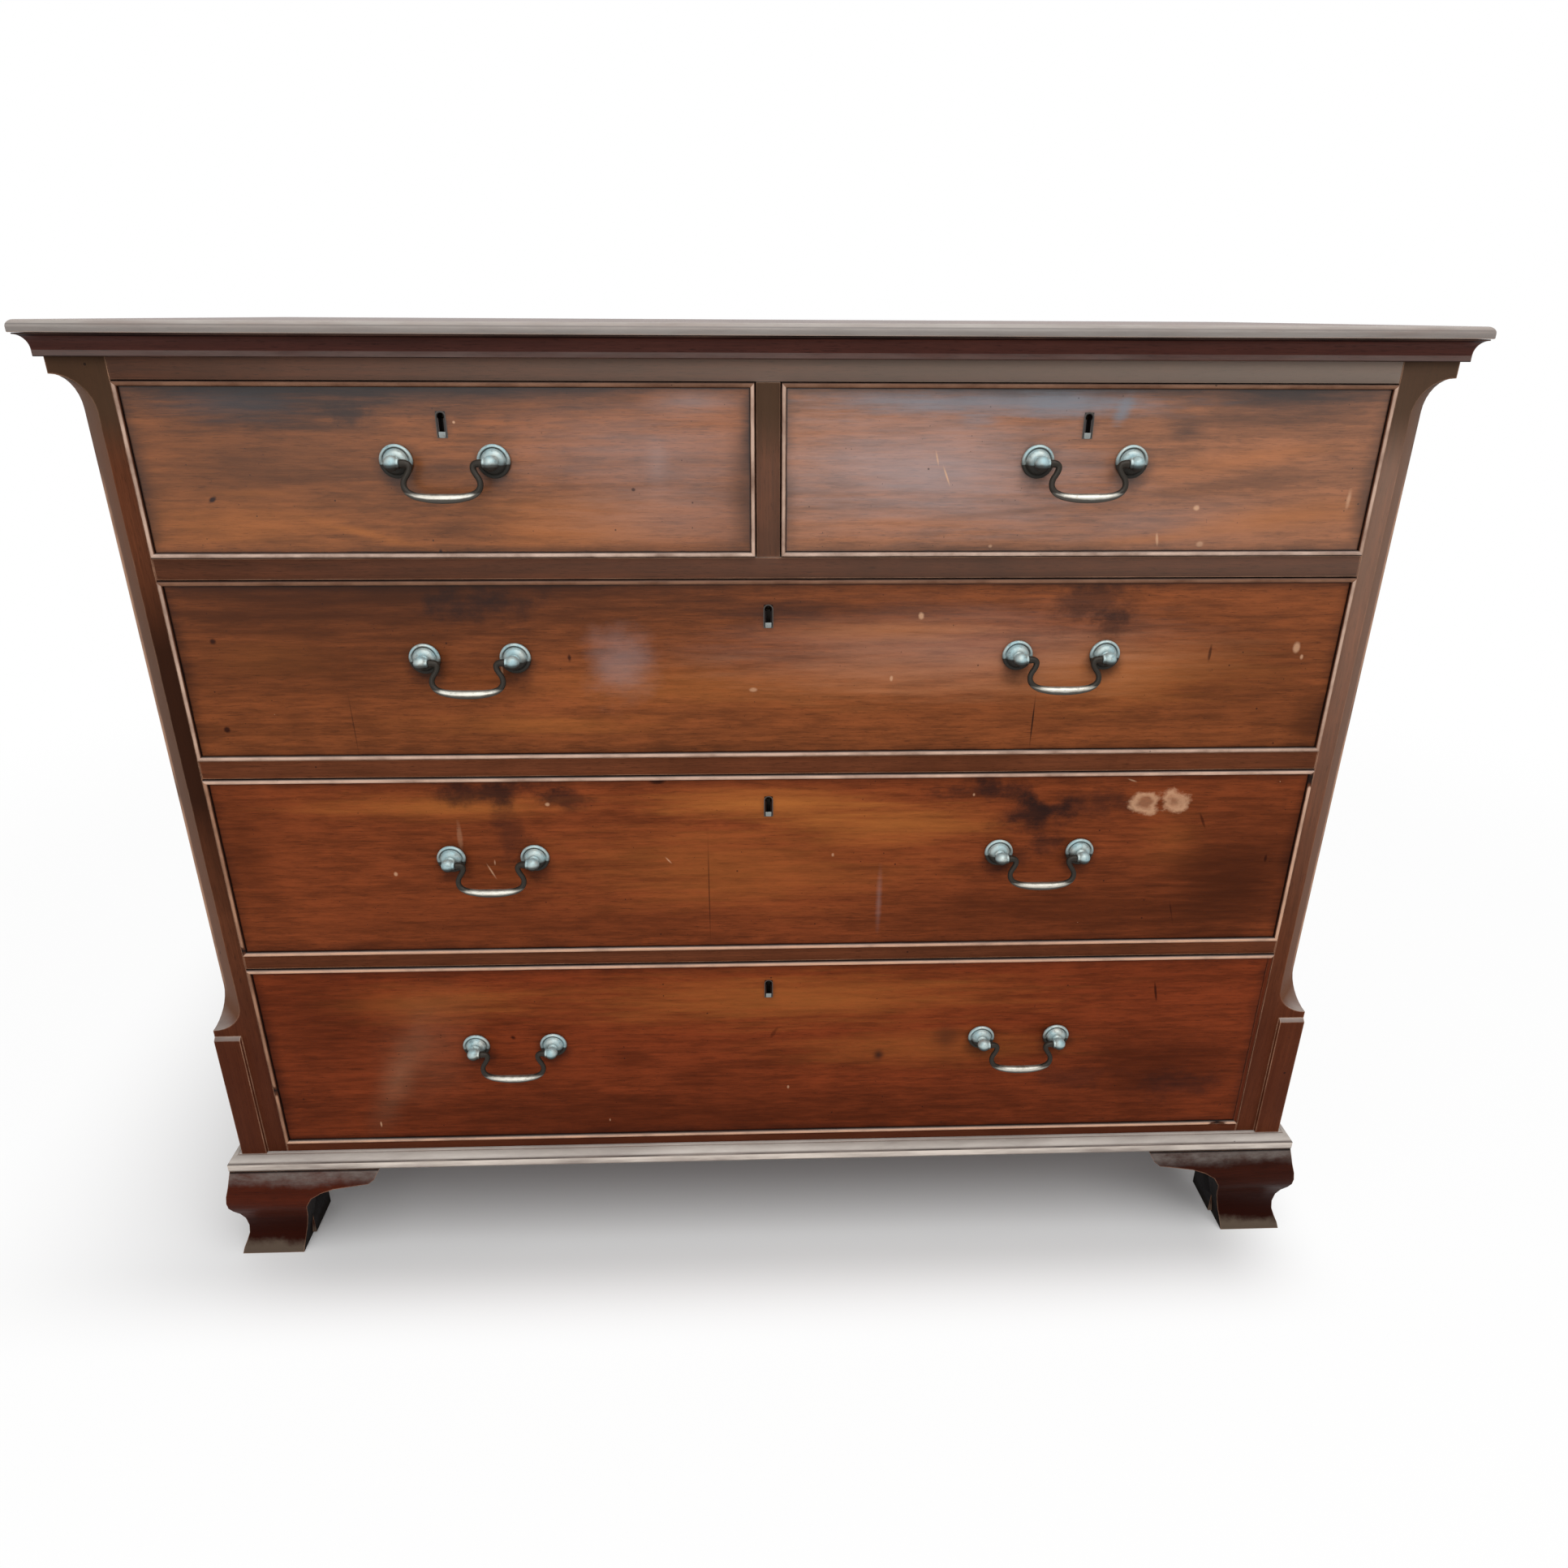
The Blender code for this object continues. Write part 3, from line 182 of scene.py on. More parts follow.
class Graph:
    """Adds nodes to a shader tree and links what they are given."""

    def __init__(self, tree):
        self.tree = tree

    def node(self, kind, inputs=(), **settings):
        made = self.tree.nodes.new(kind)
        for key, value in settings.items():
            setattr(made, key, value)
        for key, value in dict(inputs).items():
            self.feed(made.inputs[key], value)
        return made

    def feed(self, socket, value):
        if isinstance(value, bpy.types.NodeSocket):
            self.tree.links.new(value, socket)
        elif socket.type == "RGBA" and len(value) == 3:
            socket.default_value = (*value, 1)
        else:
            socket.default_value = value

    def math(self, operation, first, second=0.0, clamp=False):
        made = self.node(
            "ShaderNodeMath", {0: first, 1: second}, operation=operation, use_clamp=clamp)
        return made.outputs[0]

    def times(self, first, second):
        return self.math("MULTIPLY", first, second)

    def minus(self, first, second, clamp=False):
        return self.math("SUBTRACT", first, second, clamp)

    def away(self, value, centre):
        """How far a value is from a centre, either way."""
        return self.math("ABSOLUTE", self.minus(value, centre))

    def vector(self, operation, first, second=ZERO):
        made = self.node("ShaderNodeVectorMath", {0: first, 1: second}, operation=operation)
        return made.outputs["Value" if operation in ("LENGTH", "DOT_PRODUCT") else "Vector"]

    def mix(self, factor, first, second):
        """Mix two colours."""
        made = self.node("ShaderNodeMix", data_type="RGBA", clamp_factor=True)
        for index, value in ((0, factor), (6, first), (7, second)):
            self.feed(made.inputs[index], value)
        return made.outputs[2]

    def span(self, value, low, high, start=0.0, end=1.0, smooth=False):
        """Map a value from one range to another, clamped."""
        made = self.node(
            "ShaderNodeMapRange", {0: value, 1: low, 2: high, 3: start, 4: end},
            interpolation_type="SMOOTHSTEP" if smooth else "LINEAR")
        return made.outputs[0]

    def noise(self, vector, waves, detail=3.0, rough=0.55):
        """Noise with its own number of waves to the metre along each axis."""
        stretched = self.vector("MULTIPLY", vector, waves)
        made = self.node(
            "ShaderNodeTexNoise",
            {"Vector": stretched, "Scale": 1.0, "Detail": detail, "Roughness": rough})
        return made.outputs["Fac"]

    def group(self, kind, **inputs):
        made = self.node("ShaderNodeGroup", node_tree=GROUPS[kind])
        for key, value in inputs.items():
            self.feed(made.inputs[key], value)
        return made.outputs

    def axes(self, vector):
        return self.node("ShaderNodeSeparateXYZ", {0: vector}).outputs

    def here(self):
        """The place on the piece, in the frame's metres."""
        return self.node("ShaderNodeTexCoord").outputs["Object"]

    def normal(self):
        return self.node("ShaderNodeNewGeometry").outputs["Normal"]

    def seen(self):
        """1 where the camera looks, straight or by way of metal or glass."""
        path = self.node("ShaderNodeLightPath").outputs
        straight = self.math("MAXIMUM", path["Is Camera Ray"], path["Is Glossy Ray"])
        return self.math("MAXIMUM", straight, path["Is Transmission Ray"])


def new_group(name, outputs, **inputs):
    """An empty shader group whose inputs start at the vectors and numbers that are given.

    Gives its graph, and the sockets of its two end nodes.
    """
    tree = bpy.data.node_groups.new(name, "ShaderNodeTree")
    for socket, start in inputs.items():
        kind = "NodeSocketVector" if isinstance(start, tuple) else "NodeSocketFloat"
        made = tree.interface.new_socket(socket, in_out="INPUT", socket_type=kind)
        made.default_value = start
    for socket in outputs:
        tree.interface.new_socket(socket, in_out="OUTPUT", socket_type="NodeSocketFloat")
    graph = Graph(tree)
    return graph, graph.node("NodeGroupInput").outputs, graph.node("NodeGroupOutput").inputs


def grain_group():
    """Streaks, ribbon and pores of a wood whose grain runs along the vector's X."""
    graph, given, wanted = new_group(
        "Wood grain", ("Figure", "Pores", "Height"),
        Vector=ZERO, Offset=ZERO, Coarse=1.0, Wave=0.02, Ribbon=0.2)
    place = graph.vector("ADD", given["Vector"], given["Offset"])
    place = graph.vector("MULTIPLY", place, given["Coarse"])
    drift = graph.noise(place, (1.6, 5.0, 5.0), 2.0)
    lift = graph.times(graph.minus(drift, 0.5), given["Wave"])
    shift = graph.node("ShaderNodeCombineXYZ", {"Y": lift, "Z": lift}).outputs[0]
    place = graph.vector("ADD", place, shift)
    bands = graph.noise(place, (1.1, 26.0, 26.0), 3.0)
    streaks = graph.noise(place, (4.0, 150.0, 150.0), 5.0, 0.62)
    fibres = graph.noise(place, (26.0, 850.0, 850.0), 3.0, 0.7)
    ribbon = graph.noise(place, (22.0, 3.0, 7.0), 2.0)
    figure = graph.times(bands, 0.30)
    figure = graph.math("ADD", figure, graph.times(streaks, 0.38))
    figure = graph.math("ADD", figure, graph.times(fibres, 0.32))
    sway = graph.times(graph.minus(ribbon, 0.5), given["Ribbon"])
    figure = graph.math("ADD", figure, sway)
    graph.feed(wanted["Figure"], graph.span(figure, 0.33, 0.67))
    dashes = graph.noise(place, (110.0, 1900.0, 1900.0), 2.0, 0.5)
    pores = graph.span(dashes, 0.60, 0.70)
    graph.feed(wanted["Pores"], pores)
    graph.feed(wanted["Height"], graph.minus(graph.times(fibres, 0.5), pores))
    return graph.tree


def mark_group():
    """A soft patch round a centre, turned in the front's plane, with a ragged edge."""
    graph, given, wanted = new_group(
        "Mark", ("Mask",),
        Vector=ZERO, Centre=ZERO, Reach=(0.1, 1.0, 0.1), Turn=0.0, Ragged=0.5, Core=0.3)
    away = graph.vector("SUBTRACT", given["Vector"], given["Centre"])
    turned = graph.node(
        "ShaderNodeVectorRotate", {"Vector": away, "Angle": given["Turn"]}, rotation_type="Y_AXIS")
    shares = graph.vector("DIVIDE", turned.outputs[0], given["Reach"])
    distance = graph.math("ADD", graph.vector("LENGTH", shares), given["Ragged"])
    graph.feed(wanted["Mask"], graph.span(distance, 1.0, given["Core"], smooth=True))
    return graph.tree


def specks_group():
    """Scattered dents and dots: how many of the cells have one, and how wide it is."""
    graph, given, wanted = new_group(
        "Specks", ("Mask",), Vector=ZERO, Cells=70.0, Share=0.2, Width=0.06)
    cells = graph.node(
        "ShaderNodeTexVoronoi", {"Vector": given["Vector"], "Scale": given["Cells"]},
        voronoi_dimensions="3D")
    chosen = graph.node("ShaderNodeSeparateColor", {0: cells.outputs["Color"]}).outputs[0]
    keep = graph.math("LESS_THAN", chosen, given["Share"])
    size = graph.times(graph.math("DIVIDE", chosen, given["Share"]), given["Width"])
    dot = graph.math("LESS_THAN", cells.outputs["Distance"], size)
    graph.feed(wanted["Mask"], graph.times(dot, keep))
    return graph.tree


def border_group():
    """How near a point is to the border of an upright rectangle: 1 at the border, 0 inside."""
    graph, given, wanted = new_group(
        "Border", ("Mask",),
        Vector=ZERO, Middle=ZERO, Half=(0.1, 0.1, 0.1), Width=0.01, Ragged=0.0)
    away = graph.vector("SUBTRACT", given["Vector"], given["Middle"])
    room = graph.axes(graph.vector("SUBTRACT", given["Half"], graph.vector("ABSOLUTE", away)))
    nearest = graph.math("MINIMUM", room["X"], room["Z"])
    nearest = graph.math("ADD", nearest, graph.times(given["Ragged"], given["Width"]))
    graph.feed(wanted["Mask"], graph.span(nearest, given["Width"], 0.0, smooth=True))
    return graph.tree


def wear_group():
    """Rubbed arrises: where the surface turns within a small radius, broken up by noise."""
    graph, given, wanted = new_group("Edge wear", ("Mask",), Vector=ZERO, Radius=0.002, Patchy=0.5)
    rounded = graph.node("ShaderNodeBevel", {"Radius": given["Radius"]}, samples=4)
    facing = graph.vector("DOT_PRODUCT", rounded.outputs[0], graph.normal())
    turn = graph.span(facing, 0.992, 0.90)
    patches = graph.span(graph.noise(given["Vector"], (34.0, 34.0, 34.0), 3.0), 0.30, 0.62)
    patchy = graph.times(graph.minus(1.0, patches), given["Patchy"])
    graph.feed(wanted["Mask"], graph.minus(turn, patchy, clamp=True))
    return graph.tree


def dust_group():
    """Dry dust, with a painted sheen of the sky, on what faces up."""
    graph, given, wanted = new_group("Dust", ("Mask",), Vector=ZERO, Low=0.1, High=0.8)
    lying = graph.span(graph.axes(graph.normal())["Z"], given["Low"], given["High"])
    patches = graph.noise(given["Vector"], (9.0, 40.0, 40.0), 5.0, 0.65)
    patches = graph.span(patches, 0.28, 0.70, 0.45, 1.0)
    graph.feed(wanted["Mask"], graph.times(lying, patches))
    return graph.tree


GROUPS = {}


def make_groups():
    for build in (grain_group, mark_group, specks_group, border_group, wear_group, dust_group):
        GROUPS[build.__name__.removesuffix("_group")] = build()


# Materials

GRAIN_TURNS = {"X": (0, 0, 0), "Y": (0, 0, math.pi / 2), "Z": (0, math.pi / 2, 0)}
PORE_SHADE = 0.62               # how much of a pore's dark shows


def scaled(colour, factor, warmth=1.0):
    """A colour made lighter or darker, with its red raised by warmth and its blue lowered by it."""
    red, green, blue = colour
    return (min(red * factor * warmth, 1), min(green * factor, 1), min(blue * factor / warmth, 1))


def between(first, second, share):
    """A colour part of the way from one to another."""
    return tuple(one + (other - one) * share for one, other in zip(first, second))


class Wood(Graph):
    """One wood material while it is built: its graph, its vectors, and its colour so far."""

    def __init__(self, name, colour, along="X", seed=0.0, contrast=1.0, coarse=1.0, ribbon=0.2):
        self.material = bpy.data.materials.new(name)
        self.material.use_nodes = True
        super().__init__(self.material.node_tree)
        self.place = self.here()
        turned = self.node(
            "ShaderNodeMapping", {"Vector": self.place, "Rotation": GRAIN_TURNS[along]})
        grain = self.group(
            "grain", Vector=turned.outputs[0], Offset=(seed, seed * 0.7, seed * 1.3),
            Coarse=coarse, Ribbon=ribbon)
        self.figure, self.height = grain["Figure"], grain["Height"]
        ramp = self.node("ShaderNodeValToRGB", {0: self.figure})
        stops = ramp.color_ramp.elements
        stops.new(0.5)
        shades = (
            scaled(colour, 1 - 0.50 * contrast, 0.97), scaled(colour, 1.0),
            scaled(colour, 1 + 0.55 * contrast, 1.03))
        for stop, place, shade in zip(stops, (0.0, 0.5, 1.0), shades):
            stop.position = place
            stop.color = (*shade, 1)
        self.colour = self.mix(
            self.times(grain["Pores"], PORE_SHADE), ramp.outputs[0], scaled(colour, 0.25))
        self.ragged = self.minus(self.noise(self.place, (30.0, 30.0, 38.0), 5.0, 0.65), 0.5)
        self.streaky = self.minus(self.noise(self.place, (9.0, 30.0, 120.0), 6.0, 0.70), 0.5)
        self.rough = self.span(self.figure, 0.0, 1.0, 0.44, 0.34)

    def tint(self, mask, colour, strength=1.0):
        """Lay a colour over what is there."""
        self.colour = self.mix(self.times(mask, strength), self.colour, colour)

    def dull(self, mask, roughness, strength=1.0):
        """Change the roughness where a mask says."""
        factor = self.times(mask, strength)
        self.rough = self.node(
            "ShaderNodeMix", {0: factor, 2: self.rough, 3: roughness}, data_type="FLOAT").outputs[0]

    def mark(self, centre, reach, turn=0.0, ragged=0.8, core=0.2, streaky=False):
        """A soft patch on a front: centre and reach across and up."""
        edge = self.times(self.streaky if streaky else self.ragged, ragged)
        return self.group(
            "mark", Vector=self.place, Centre=(centre[0], FRONT_Y, centre[1]),
            Reach=(reach[0], 1.0, reach[1]), Turn=math.radians(turn), Ragged=edge,
            Core=core)["Mask"]

    def border(self, middle, half, width, ragged=0.0):
        """The inside of an upright rectangle's border, and all that lies beyond it."""
        return self.group(
            "border", Vector=self.place, Middle=middle, Half=half, Width=width,
            Ragged=ragged)["Mask"]

    def specks(self, cells, share, width, colour, strength):
        dots = self.group("specks", Vector=self.place, Cells=cells, Share=share, Width=width)
        self.tint(dots["Mask"], colour, strength)

    def clouds(self, waves, detail, rough, low, high, start=0.0, end=1.0):
        """Patches of noise, from start to end where the noise goes from low to high."""
        return self.span(self.noise(self.place, waves, detail, rough), low, high, start, end)

    def wear(self, colour, radius, strength, patchy=0.6):
        """Rubbed arrises."""
        mask = self.group("wear", Vector=self.place, Radius=radius, Patchy=patchy)["Mask"]
        self.tint(mask, colour, strength)
        self.dull(mask, 0.5, strength)

    # Dust with a painted sheen of the sky on what faces up
    def dust(self, colour, strength, low, high):
        mask = self.group("dust", Vector=self.place, Low=low, High=high)["Mask"]
        self.tint(mask, colour, strength)
        self.dull(mask, 0.65, strength)

    def sheen(self, strength, low=0.56, high=0.84):
        """A share that grows with height: how much the polish coat reflects, and the carcass's
        painted sheen.
        """
        return self.span(self.axes(self.place)["Z"], low, high, 0.0, strength, smooth=True)

    def done(self, bump=0.00006, specular=0.35, coat=0.0):
        """Connect colour, roughness and relief to the shader."""
        relief = self.node(
            "ShaderNodeBump", {"Height": self.height, "Strength": 1.0, "Distance": bump})
        inputs = self.tree.nodes["Principled BSDF"].inputs
        for socket, value in {
                "Base Color": self.colour, "Roughness": self.rough, "Normal": relief.outputs[0],
                "Specular IOR Level": specular, "Coat Weight": coat, "Coat Roughness": 0.3}.items():
            self.feed(inputs[socket], value)
        return self.material


# Marks on the fronts, in the order in which they are laid: what they are made of, then each one's
# middle across and up, how far it reaches across and up, all as shares of the front, its strength,
# and its turn in degrees where it has one
FRONT_MARK_SHARES = {
    "top_left": (
        ("amber", (0.16, 0.20, 0.26, 0.24, 0.36), (0.36, 0.14, 0.14, 0.05, 0.55, -14),
         (0.72, 0.30, 0.26, 0.14, 0.45), (0.20, 0.38, 0.12, 0.03, 0.35)),
        ("haze", (0.84, 0.60, 0.36, 0.46, 0.24), (0.90, 0.90, 0.11, 0.13, 0.30)),
        ("bloom", (0.84, 0.54, 0.03, 0.22, 0.14)),
        ("amber", (0.74, 0.15, 0.26, 0.14, 0.52)),
        ("shade", (0.24, 0.46, 0.24, 0.05, 0.55, 2), (0.50, 0.15, 0.12, 0.08, 0.55)),
        ("haze", (0.88, 0.20, 0.30, 0.26, 0.17)),
        ("shade", (0.00, 0.50, 0.050, 0.90, 0.70), (0.20, 0.62, 0.40, 0.50, 0.55)),
        ("stain", (0.45, 0.97, 0.62, 0.26, 0.86), (0.20, 0.93, 0.28, 0.26, 0.92)),
        ("slate", (0.17, 0.88, 0.16, 0.12, 0.10)),
        ("blot", (0.355, 0.81, 0.055, 0.09, 0.70)),
        ("stain", (0.55, 1.00, 0.55, 0.09, 0.60), (0.50, 0.53, 0.08, 0.06, 0.50),
         (1.00, 0.72, 0.030, 0.40, 0.80)),
        ("shade", (0.98, 0.40, 0.035, 0.60, 0.60)),
        ("dent", (0.117, 0.34, 0.011, 0.020, 1.00, 35), (0.475, 0.035, 0.005, 0.020, 0.90),
         (0.800, 0.40, 0.004, 0.012, 0.80)),
        ("chip", (0.520, 0.78, 0.003, 0.010, 0.80)),
    ),
    "top_right": (
        ("haze", (0.24, 0.50, 0.42, 0.50, 0.50), (0.60, 0.20, 0.40, 0.26, 0.16)),
        ("amber", (0.78, 0.58, 0.22, 0.10, 0.36, 8), (0.84, 0.22, 0.26, 0.14, 0.60, 7),
         (0.62, 0.10, 0.20, 0.06, 0.40, 6), (0.20, 0.20, 0.22, 0.06, 0.28, 2)),
        ("shade", (0.75, 0.42, 0.26, 0.07, 0.55, 7), (0.40, 0.27, 0.24, 0.03, 0.40, 5)),
        ("stain", (0.84, 0.92, 0.28, 0.19, 0.86)),
        ("shade", (0.80, 0.78, 0.26, 0.14, 0.50)),
        ("stain", (0.665, 0.74, 0.050, 0.09, 0.65), (0.46, 0.97, 0.50, 0.09, 0.62)),
        ("slate", (0.34, 0.90, 0.40, 0.12, 0.78), (0.46, 0.88, 0.12, 0.12, 0.60),
         (0.555, 0.86, 0.018, 0.13, 0.80, -28), (0.32, 0.80, 0.05, 0.05, 0.40)),
        ("shade", (0.985, 0.35, 0.030, 0.50, 0.70)),
        ("stain", (0.50, 0.56, 0.08, 0.06, 0.35)),
        ("scratch", (0.256, 0.58, 0.0020, 0.060, 0.70, 14), (0.273, 0.48, 0.0022, 0.080, 0.80, 22)),
        ("chip", (0.700, 0.29, 0.007, 0.022, 0.75), (0.715, 0.07, 0.008, 0.024, 0.60),
         (0.640, 0.10, 0.003, 0.050, 0.60, 10), (0.958, 0.34, 0.006, 0.090, 0.50),
         (0.355, 0.06, 0.004, 0.012, 0.60)),
    ),
    "upper": (
        ("amber", (0.62, 0.72, 0.14, 0.08, 0.60), (0.08, 0.60, 0.08, 0.16, 0.25),
         (0.45, 0.42, 0.22, 0.20, 0.35), (0.30, 0.20, 0.16, 0.10, 0.35),
         (0.78, 0.50, 0.22, 0.28, 0.74), (0.60, 0.52, 0.14, 0.34, 0.42)),
        ("haze", (0.66, 0.60, 0.30, 0.36, 0.18)),
        ("shade", (0.92, 0.40, 0.12, 0.50, 0.34), (0.10, 0.60, 0.22, 0.56, 0.58),
         (0.20, 0.96, 0.50, 0.40, 1.00)),
        ("blot", (0.258, 0.88, 0.062, 0.15, 0.70)),
        ("stain", (0.53, 0.85, 0.13, 0.09, 0.60)),
        ("blot", (0.785, 0.90, 0.055, 0.20, 0.60), (0.795, 0.74, 0.030, 0.12, 0.55, 20)),
        ("bloom", (0.374, 0.54, 0.040, 0.30, 0.24)),
        ("shade", (0.985, 0.15, 0.030, 0.24, 0.80), (0.00, 0.50, 0.020, 0.60, 0.60)),
        ("crack", (0.139, 0.20, 0.0008, 0.24, 0.50, 1), (0.735, 0.19, 0.0010, 0.21, 0.95, -1)),
        ("chip", (0.630, 0.80, 0.0030, 0.026, 0.70), (0.961, 0.61, 0.0036, 0.034, 0.60),
         (0.967, 0.56, 0.0020, 0.020, 0.60), (0.607, 0.45, 0.0018, 0.020, 0.60),
         (0.487, 0.39, 0.0040, 0.014, 0.50), (0.272, 0.52, 0.0012, 0.050, 0.45)),
        ("dent", (0.330, 0.58, 0.0026, 0.034, 0.85), (0.034, 0.68, 0.0035, 0.022, 0.90),
         (0.030, 0.18, 0.0035, 0.022, 0.90), (0.885, 0.58, 0.0018, 0.060, 0.70)),
    ),
    "middle": (
        ("amber", (0.20, 0.84, 0.18, 0.10, 0.55), (0.50, 0.84, 0.16, 0.14, 0.75),
         (0.62, 0.72, 0.14, 0.16, 0.60), (0.88, 0.60, 0.05, 0.26, 0.20),
         (0.47, 0.48, 0.24, 0.36, 0.30)),
        ("shade", (0.25, 0.16, 0.30, 0.22, 0.35), (0.80, 0.20, 0.28, 0.28, 0.68),
         (0.95, 0.35, 0.14, 0.62, 0.92)),
        ("blot", (0.250, 0.92, 0.075, 0.09, 0.75), (0.262, 0.70, 0.022, 0.26, 0.45),
         (0.315, 0.87, 0.036, 0.08, 0.60), (0.700, 0.90, 0.060, 0.09, 0.80),
         (0.750, 0.76, 0.055, 0.12, 0.80), (0.77, 0.60, 0.030, 0.08, 0.60),
         (0.79, 0.80, 0.06, 0.12, 0.55), (0.735, 0.52, 0.020, 0.10, 0.45)),
        ("shade", (0.02, 0.60, 0.040, 0.60, 0.55)),
        ("chip", (0.218, 0.68, 0.0030, 0.090, 0.18)),
        ("crack", (0.444, 0.36, 0.0009, 0.38, 0.60)),
        ("haze", (0.605, 0.28, 0.004, 0.26, 0.16)),
        ("dent", (0.905, 0.72, 0.0016, 0.060, 0.60, 25), (0.890, 0.18, 0.0012, 0.090, 0.55, 15),
         (0.400, 0.97, 0.0100, 0.020, 0.80), (0.972, 0.50, 0.0020, 0.030, 0.80)),
        ("scratch", (0.243, 0.48, 0.0012, 0.060, 0.60, 25), (0.407, 0.53, 0.0010, 0.030, 0.60, 40),
         (0.247, 0.53, 0.0010, 0.020, 0.50)),
        ("chip", (0.688, 0.88, 0.0018, 0.014, 0.60), (0.300, 0.85, 0.0030, 0.014, 0.60),
         (0.155, 0.47, 0.0020, 0.014, 0.60), (0.560, 0.55, 0.0016, 0.014, 0.50)),
        ("scratch", (0.833, 0.95, 0.0060, 0.006, 0.60, -20)),
    ),
    "lower": (
        ("amber", (0.52, 0.80, 0.34, 0.22, 0.45), (0.66, 0.50, 0.22, 0.16, 0.30),
         (0.16, 0.80, 0.14, 0.16, 0.30)),
        ("shade", (0.40, 0.08, 0.60, 0.30, 0.55), (0.90, 0.35, 0.14, 0.40, 0.65)),
        ("blot", (0.93, 0.24, 0.07, 0.12, 0.45), (0.82, 0.30, 0.07, 0.10, 0.35)),
        ("shade", (0.06, 0.70, 0.10, 0.50, 0.40), (0.43, 0.35, 0.05, 0.12, 0.45)),
        # Painted reflections: two pale streaks of light across the front
        ("gleam", (0.126, 0.38, 0.026, 0.50, 0.20, -24), (0.16, 0.56, 0.07, 0.50, 0.12, -24)),
        ("dent", (0.888, 0.80, 0.0016, 0.060, 0.80, 12)),
        ("stain", (0.612, 0.46, 0.008, 0.05, 0.80)),
        ("dent", (0.245, 0.60, 0.0040, 0.020, 0.80, 40), (0.505, 0.60, 0.0030, 0.050, 0.45, -30)),
        ("shade", (0.36, 0.46, 0.03, 0.07, 0.50), (0.00, 0.50, 0.020, 0.60, 0.55)),
        ("chip", (0.100, 0.10, 0.0012, 0.020, 0.60), (0.335, 0.10, 0.0012, 0.012, 0.50),
         (0.520, 0.28, 0.0014, 0.012, 0.50)),
        ("stain", (0.68, 0.55, 0.020, 0.12, 0.45)),
    ),
}
# How each kind of mark ends: along the grain or not, how ragged, and how far its full tone reaches
MARK_EDGES = {
    "stain": (True, 1.3, -0.05), "shade": (True, 1.3, -0.05), "amber": (True, 1.5, -0.10),
    "slate": (True, 1.5, 0.05), "haze": (True, 1.0, -0.20), "blot": (False, 2.6, 0.05),
    "bloom": (False, 1.0, 0.00), "gleam": (False, 0.4, -0.50), "dent": (False, 2.0, 0.30),
    "chip": (False, 1.6, 0.30), "crack": (False, 0.5, 0.10), "scratch": (False, 0.4, 0.20),
}
# The two joined rings on the middle drawer: across and up, then reach across and up, as shares
RING_SHARES = ((0.8495, 0.832, 0.0152, 0.080), (0.8745, 0.834, 0.0148, 0.076))
RING_INSIDE = (0.74, 0.66)      # a ring's inside, across and up, as shares of the ring
FRONT_SEEDS = {"top_left": 0.3, "top_right": 1.9, "upper": 3.1, "middle": 4.7, "lower": 6.2}
# How much each front shines under and through its polish
FRONT_POLISH = {
    "top_left": (0.10, 0.50), "top_right": (0.16, 0.80), "upper": (0.06, 0.30),
    "middle": (0.04, 0.0), "lower": (0.03, 0.0),
}


def mottle(wood, colour):
    """Clouds and short streaks, darker and lighter, as old polish has."""
    for waves, spread in (((15.0, 15.0, 60.0), 0.14), ((30.0, 30.0, 240.0), 0.13)):
        clouds = wood.noise(wood.place, waves, 5.0, 0.68)
        wood.tint(wood.span(clouds, 0.50, 0.50 + spread), scaled(colour, 0.50, 0.98), 0.38)
        wood.tint(wood.span(clouds, 0.50, 0.50 - spread), scaled(colour, 1.42, 1.02), 0.34)


def lay_marks(wood, drawer, colours, low, size):
    """The front's own stains, stripes, cracks and scratches, with painted sheen, in the order of
    the table.
    """
    colour, stain = getattr(colours, drawer), colours.stain
    shown = {
        # The haze marks are milky bloom with a painted sheen of the bright room
        "stain": stain, "blot": stain, "bloom": colours.bloom, "haze": colours.bloom,
        # The slate marks are grey-blue turned polish with a painted sheen
        "amber": colours.amber, "slate": colours.slate, "shade": scaled(colour, 0.30),
        "dent": scaled(colours.foot, 0.25, 1.10), "crack": scaled(stain, 0.4),
        # The gleam marks are painted reflections
        "chip": colours.ring, "scratch": colours.ring, "gleam": scaled(colours.ring, 0.75),
    }
    for kind, *marks in FRONT_MARK_SHARES[drawer]:
        streaky, ragged, core = MARK_EDGES[kind]
        for across, up, reach, rise, strength, *turn in marks:
            mask = wood.mark(
                (low.x + across * size.x, low.z + up * size.z), (reach * size.x, rise * size.z),
                turn[0] if turn else 0, ragged, core, streaky)
            wood.tint(mask, shown[kind], strength)


def lay_rings(wood, colour, low, size):
    """Two joined pale rings, as a wet glass leaves them."""
    for across, up, reach, rise in RING_SHARES:
        centre = (low.x + across * size.x, low.z + up * size.z)
        outer = wood.mark(centre, (reach * size.x, rise * size.z), ragged=2.2, core=0.60)
        inside = wood.mark(
            centre, (reach * size.x * RING_INSIDE[0], rise * size.z * RING_INSIDE[1]),
            ragged=2.2, core=0.35)
        wood.tint(outer, colour, 0.22)
        wood.tint(wood.minus(outer, inside, clamp=True), colour, 0.62)


# Painted shade with grime on a front: round a rose, how far below its middle, and how far across
# and up, as shares of its radius; along the front's edge and along the bead, how wide and how
# strong
ROSE_GRIME_SHADE_DROP, ROSE_GRIME_SHADE_REACH = 0.5, (1.7, 1.9)
EDGE_GRIME_SHADE, BEAD_GRIME_SHADE = (0.016, 0.45), (0.0016, 0.80)


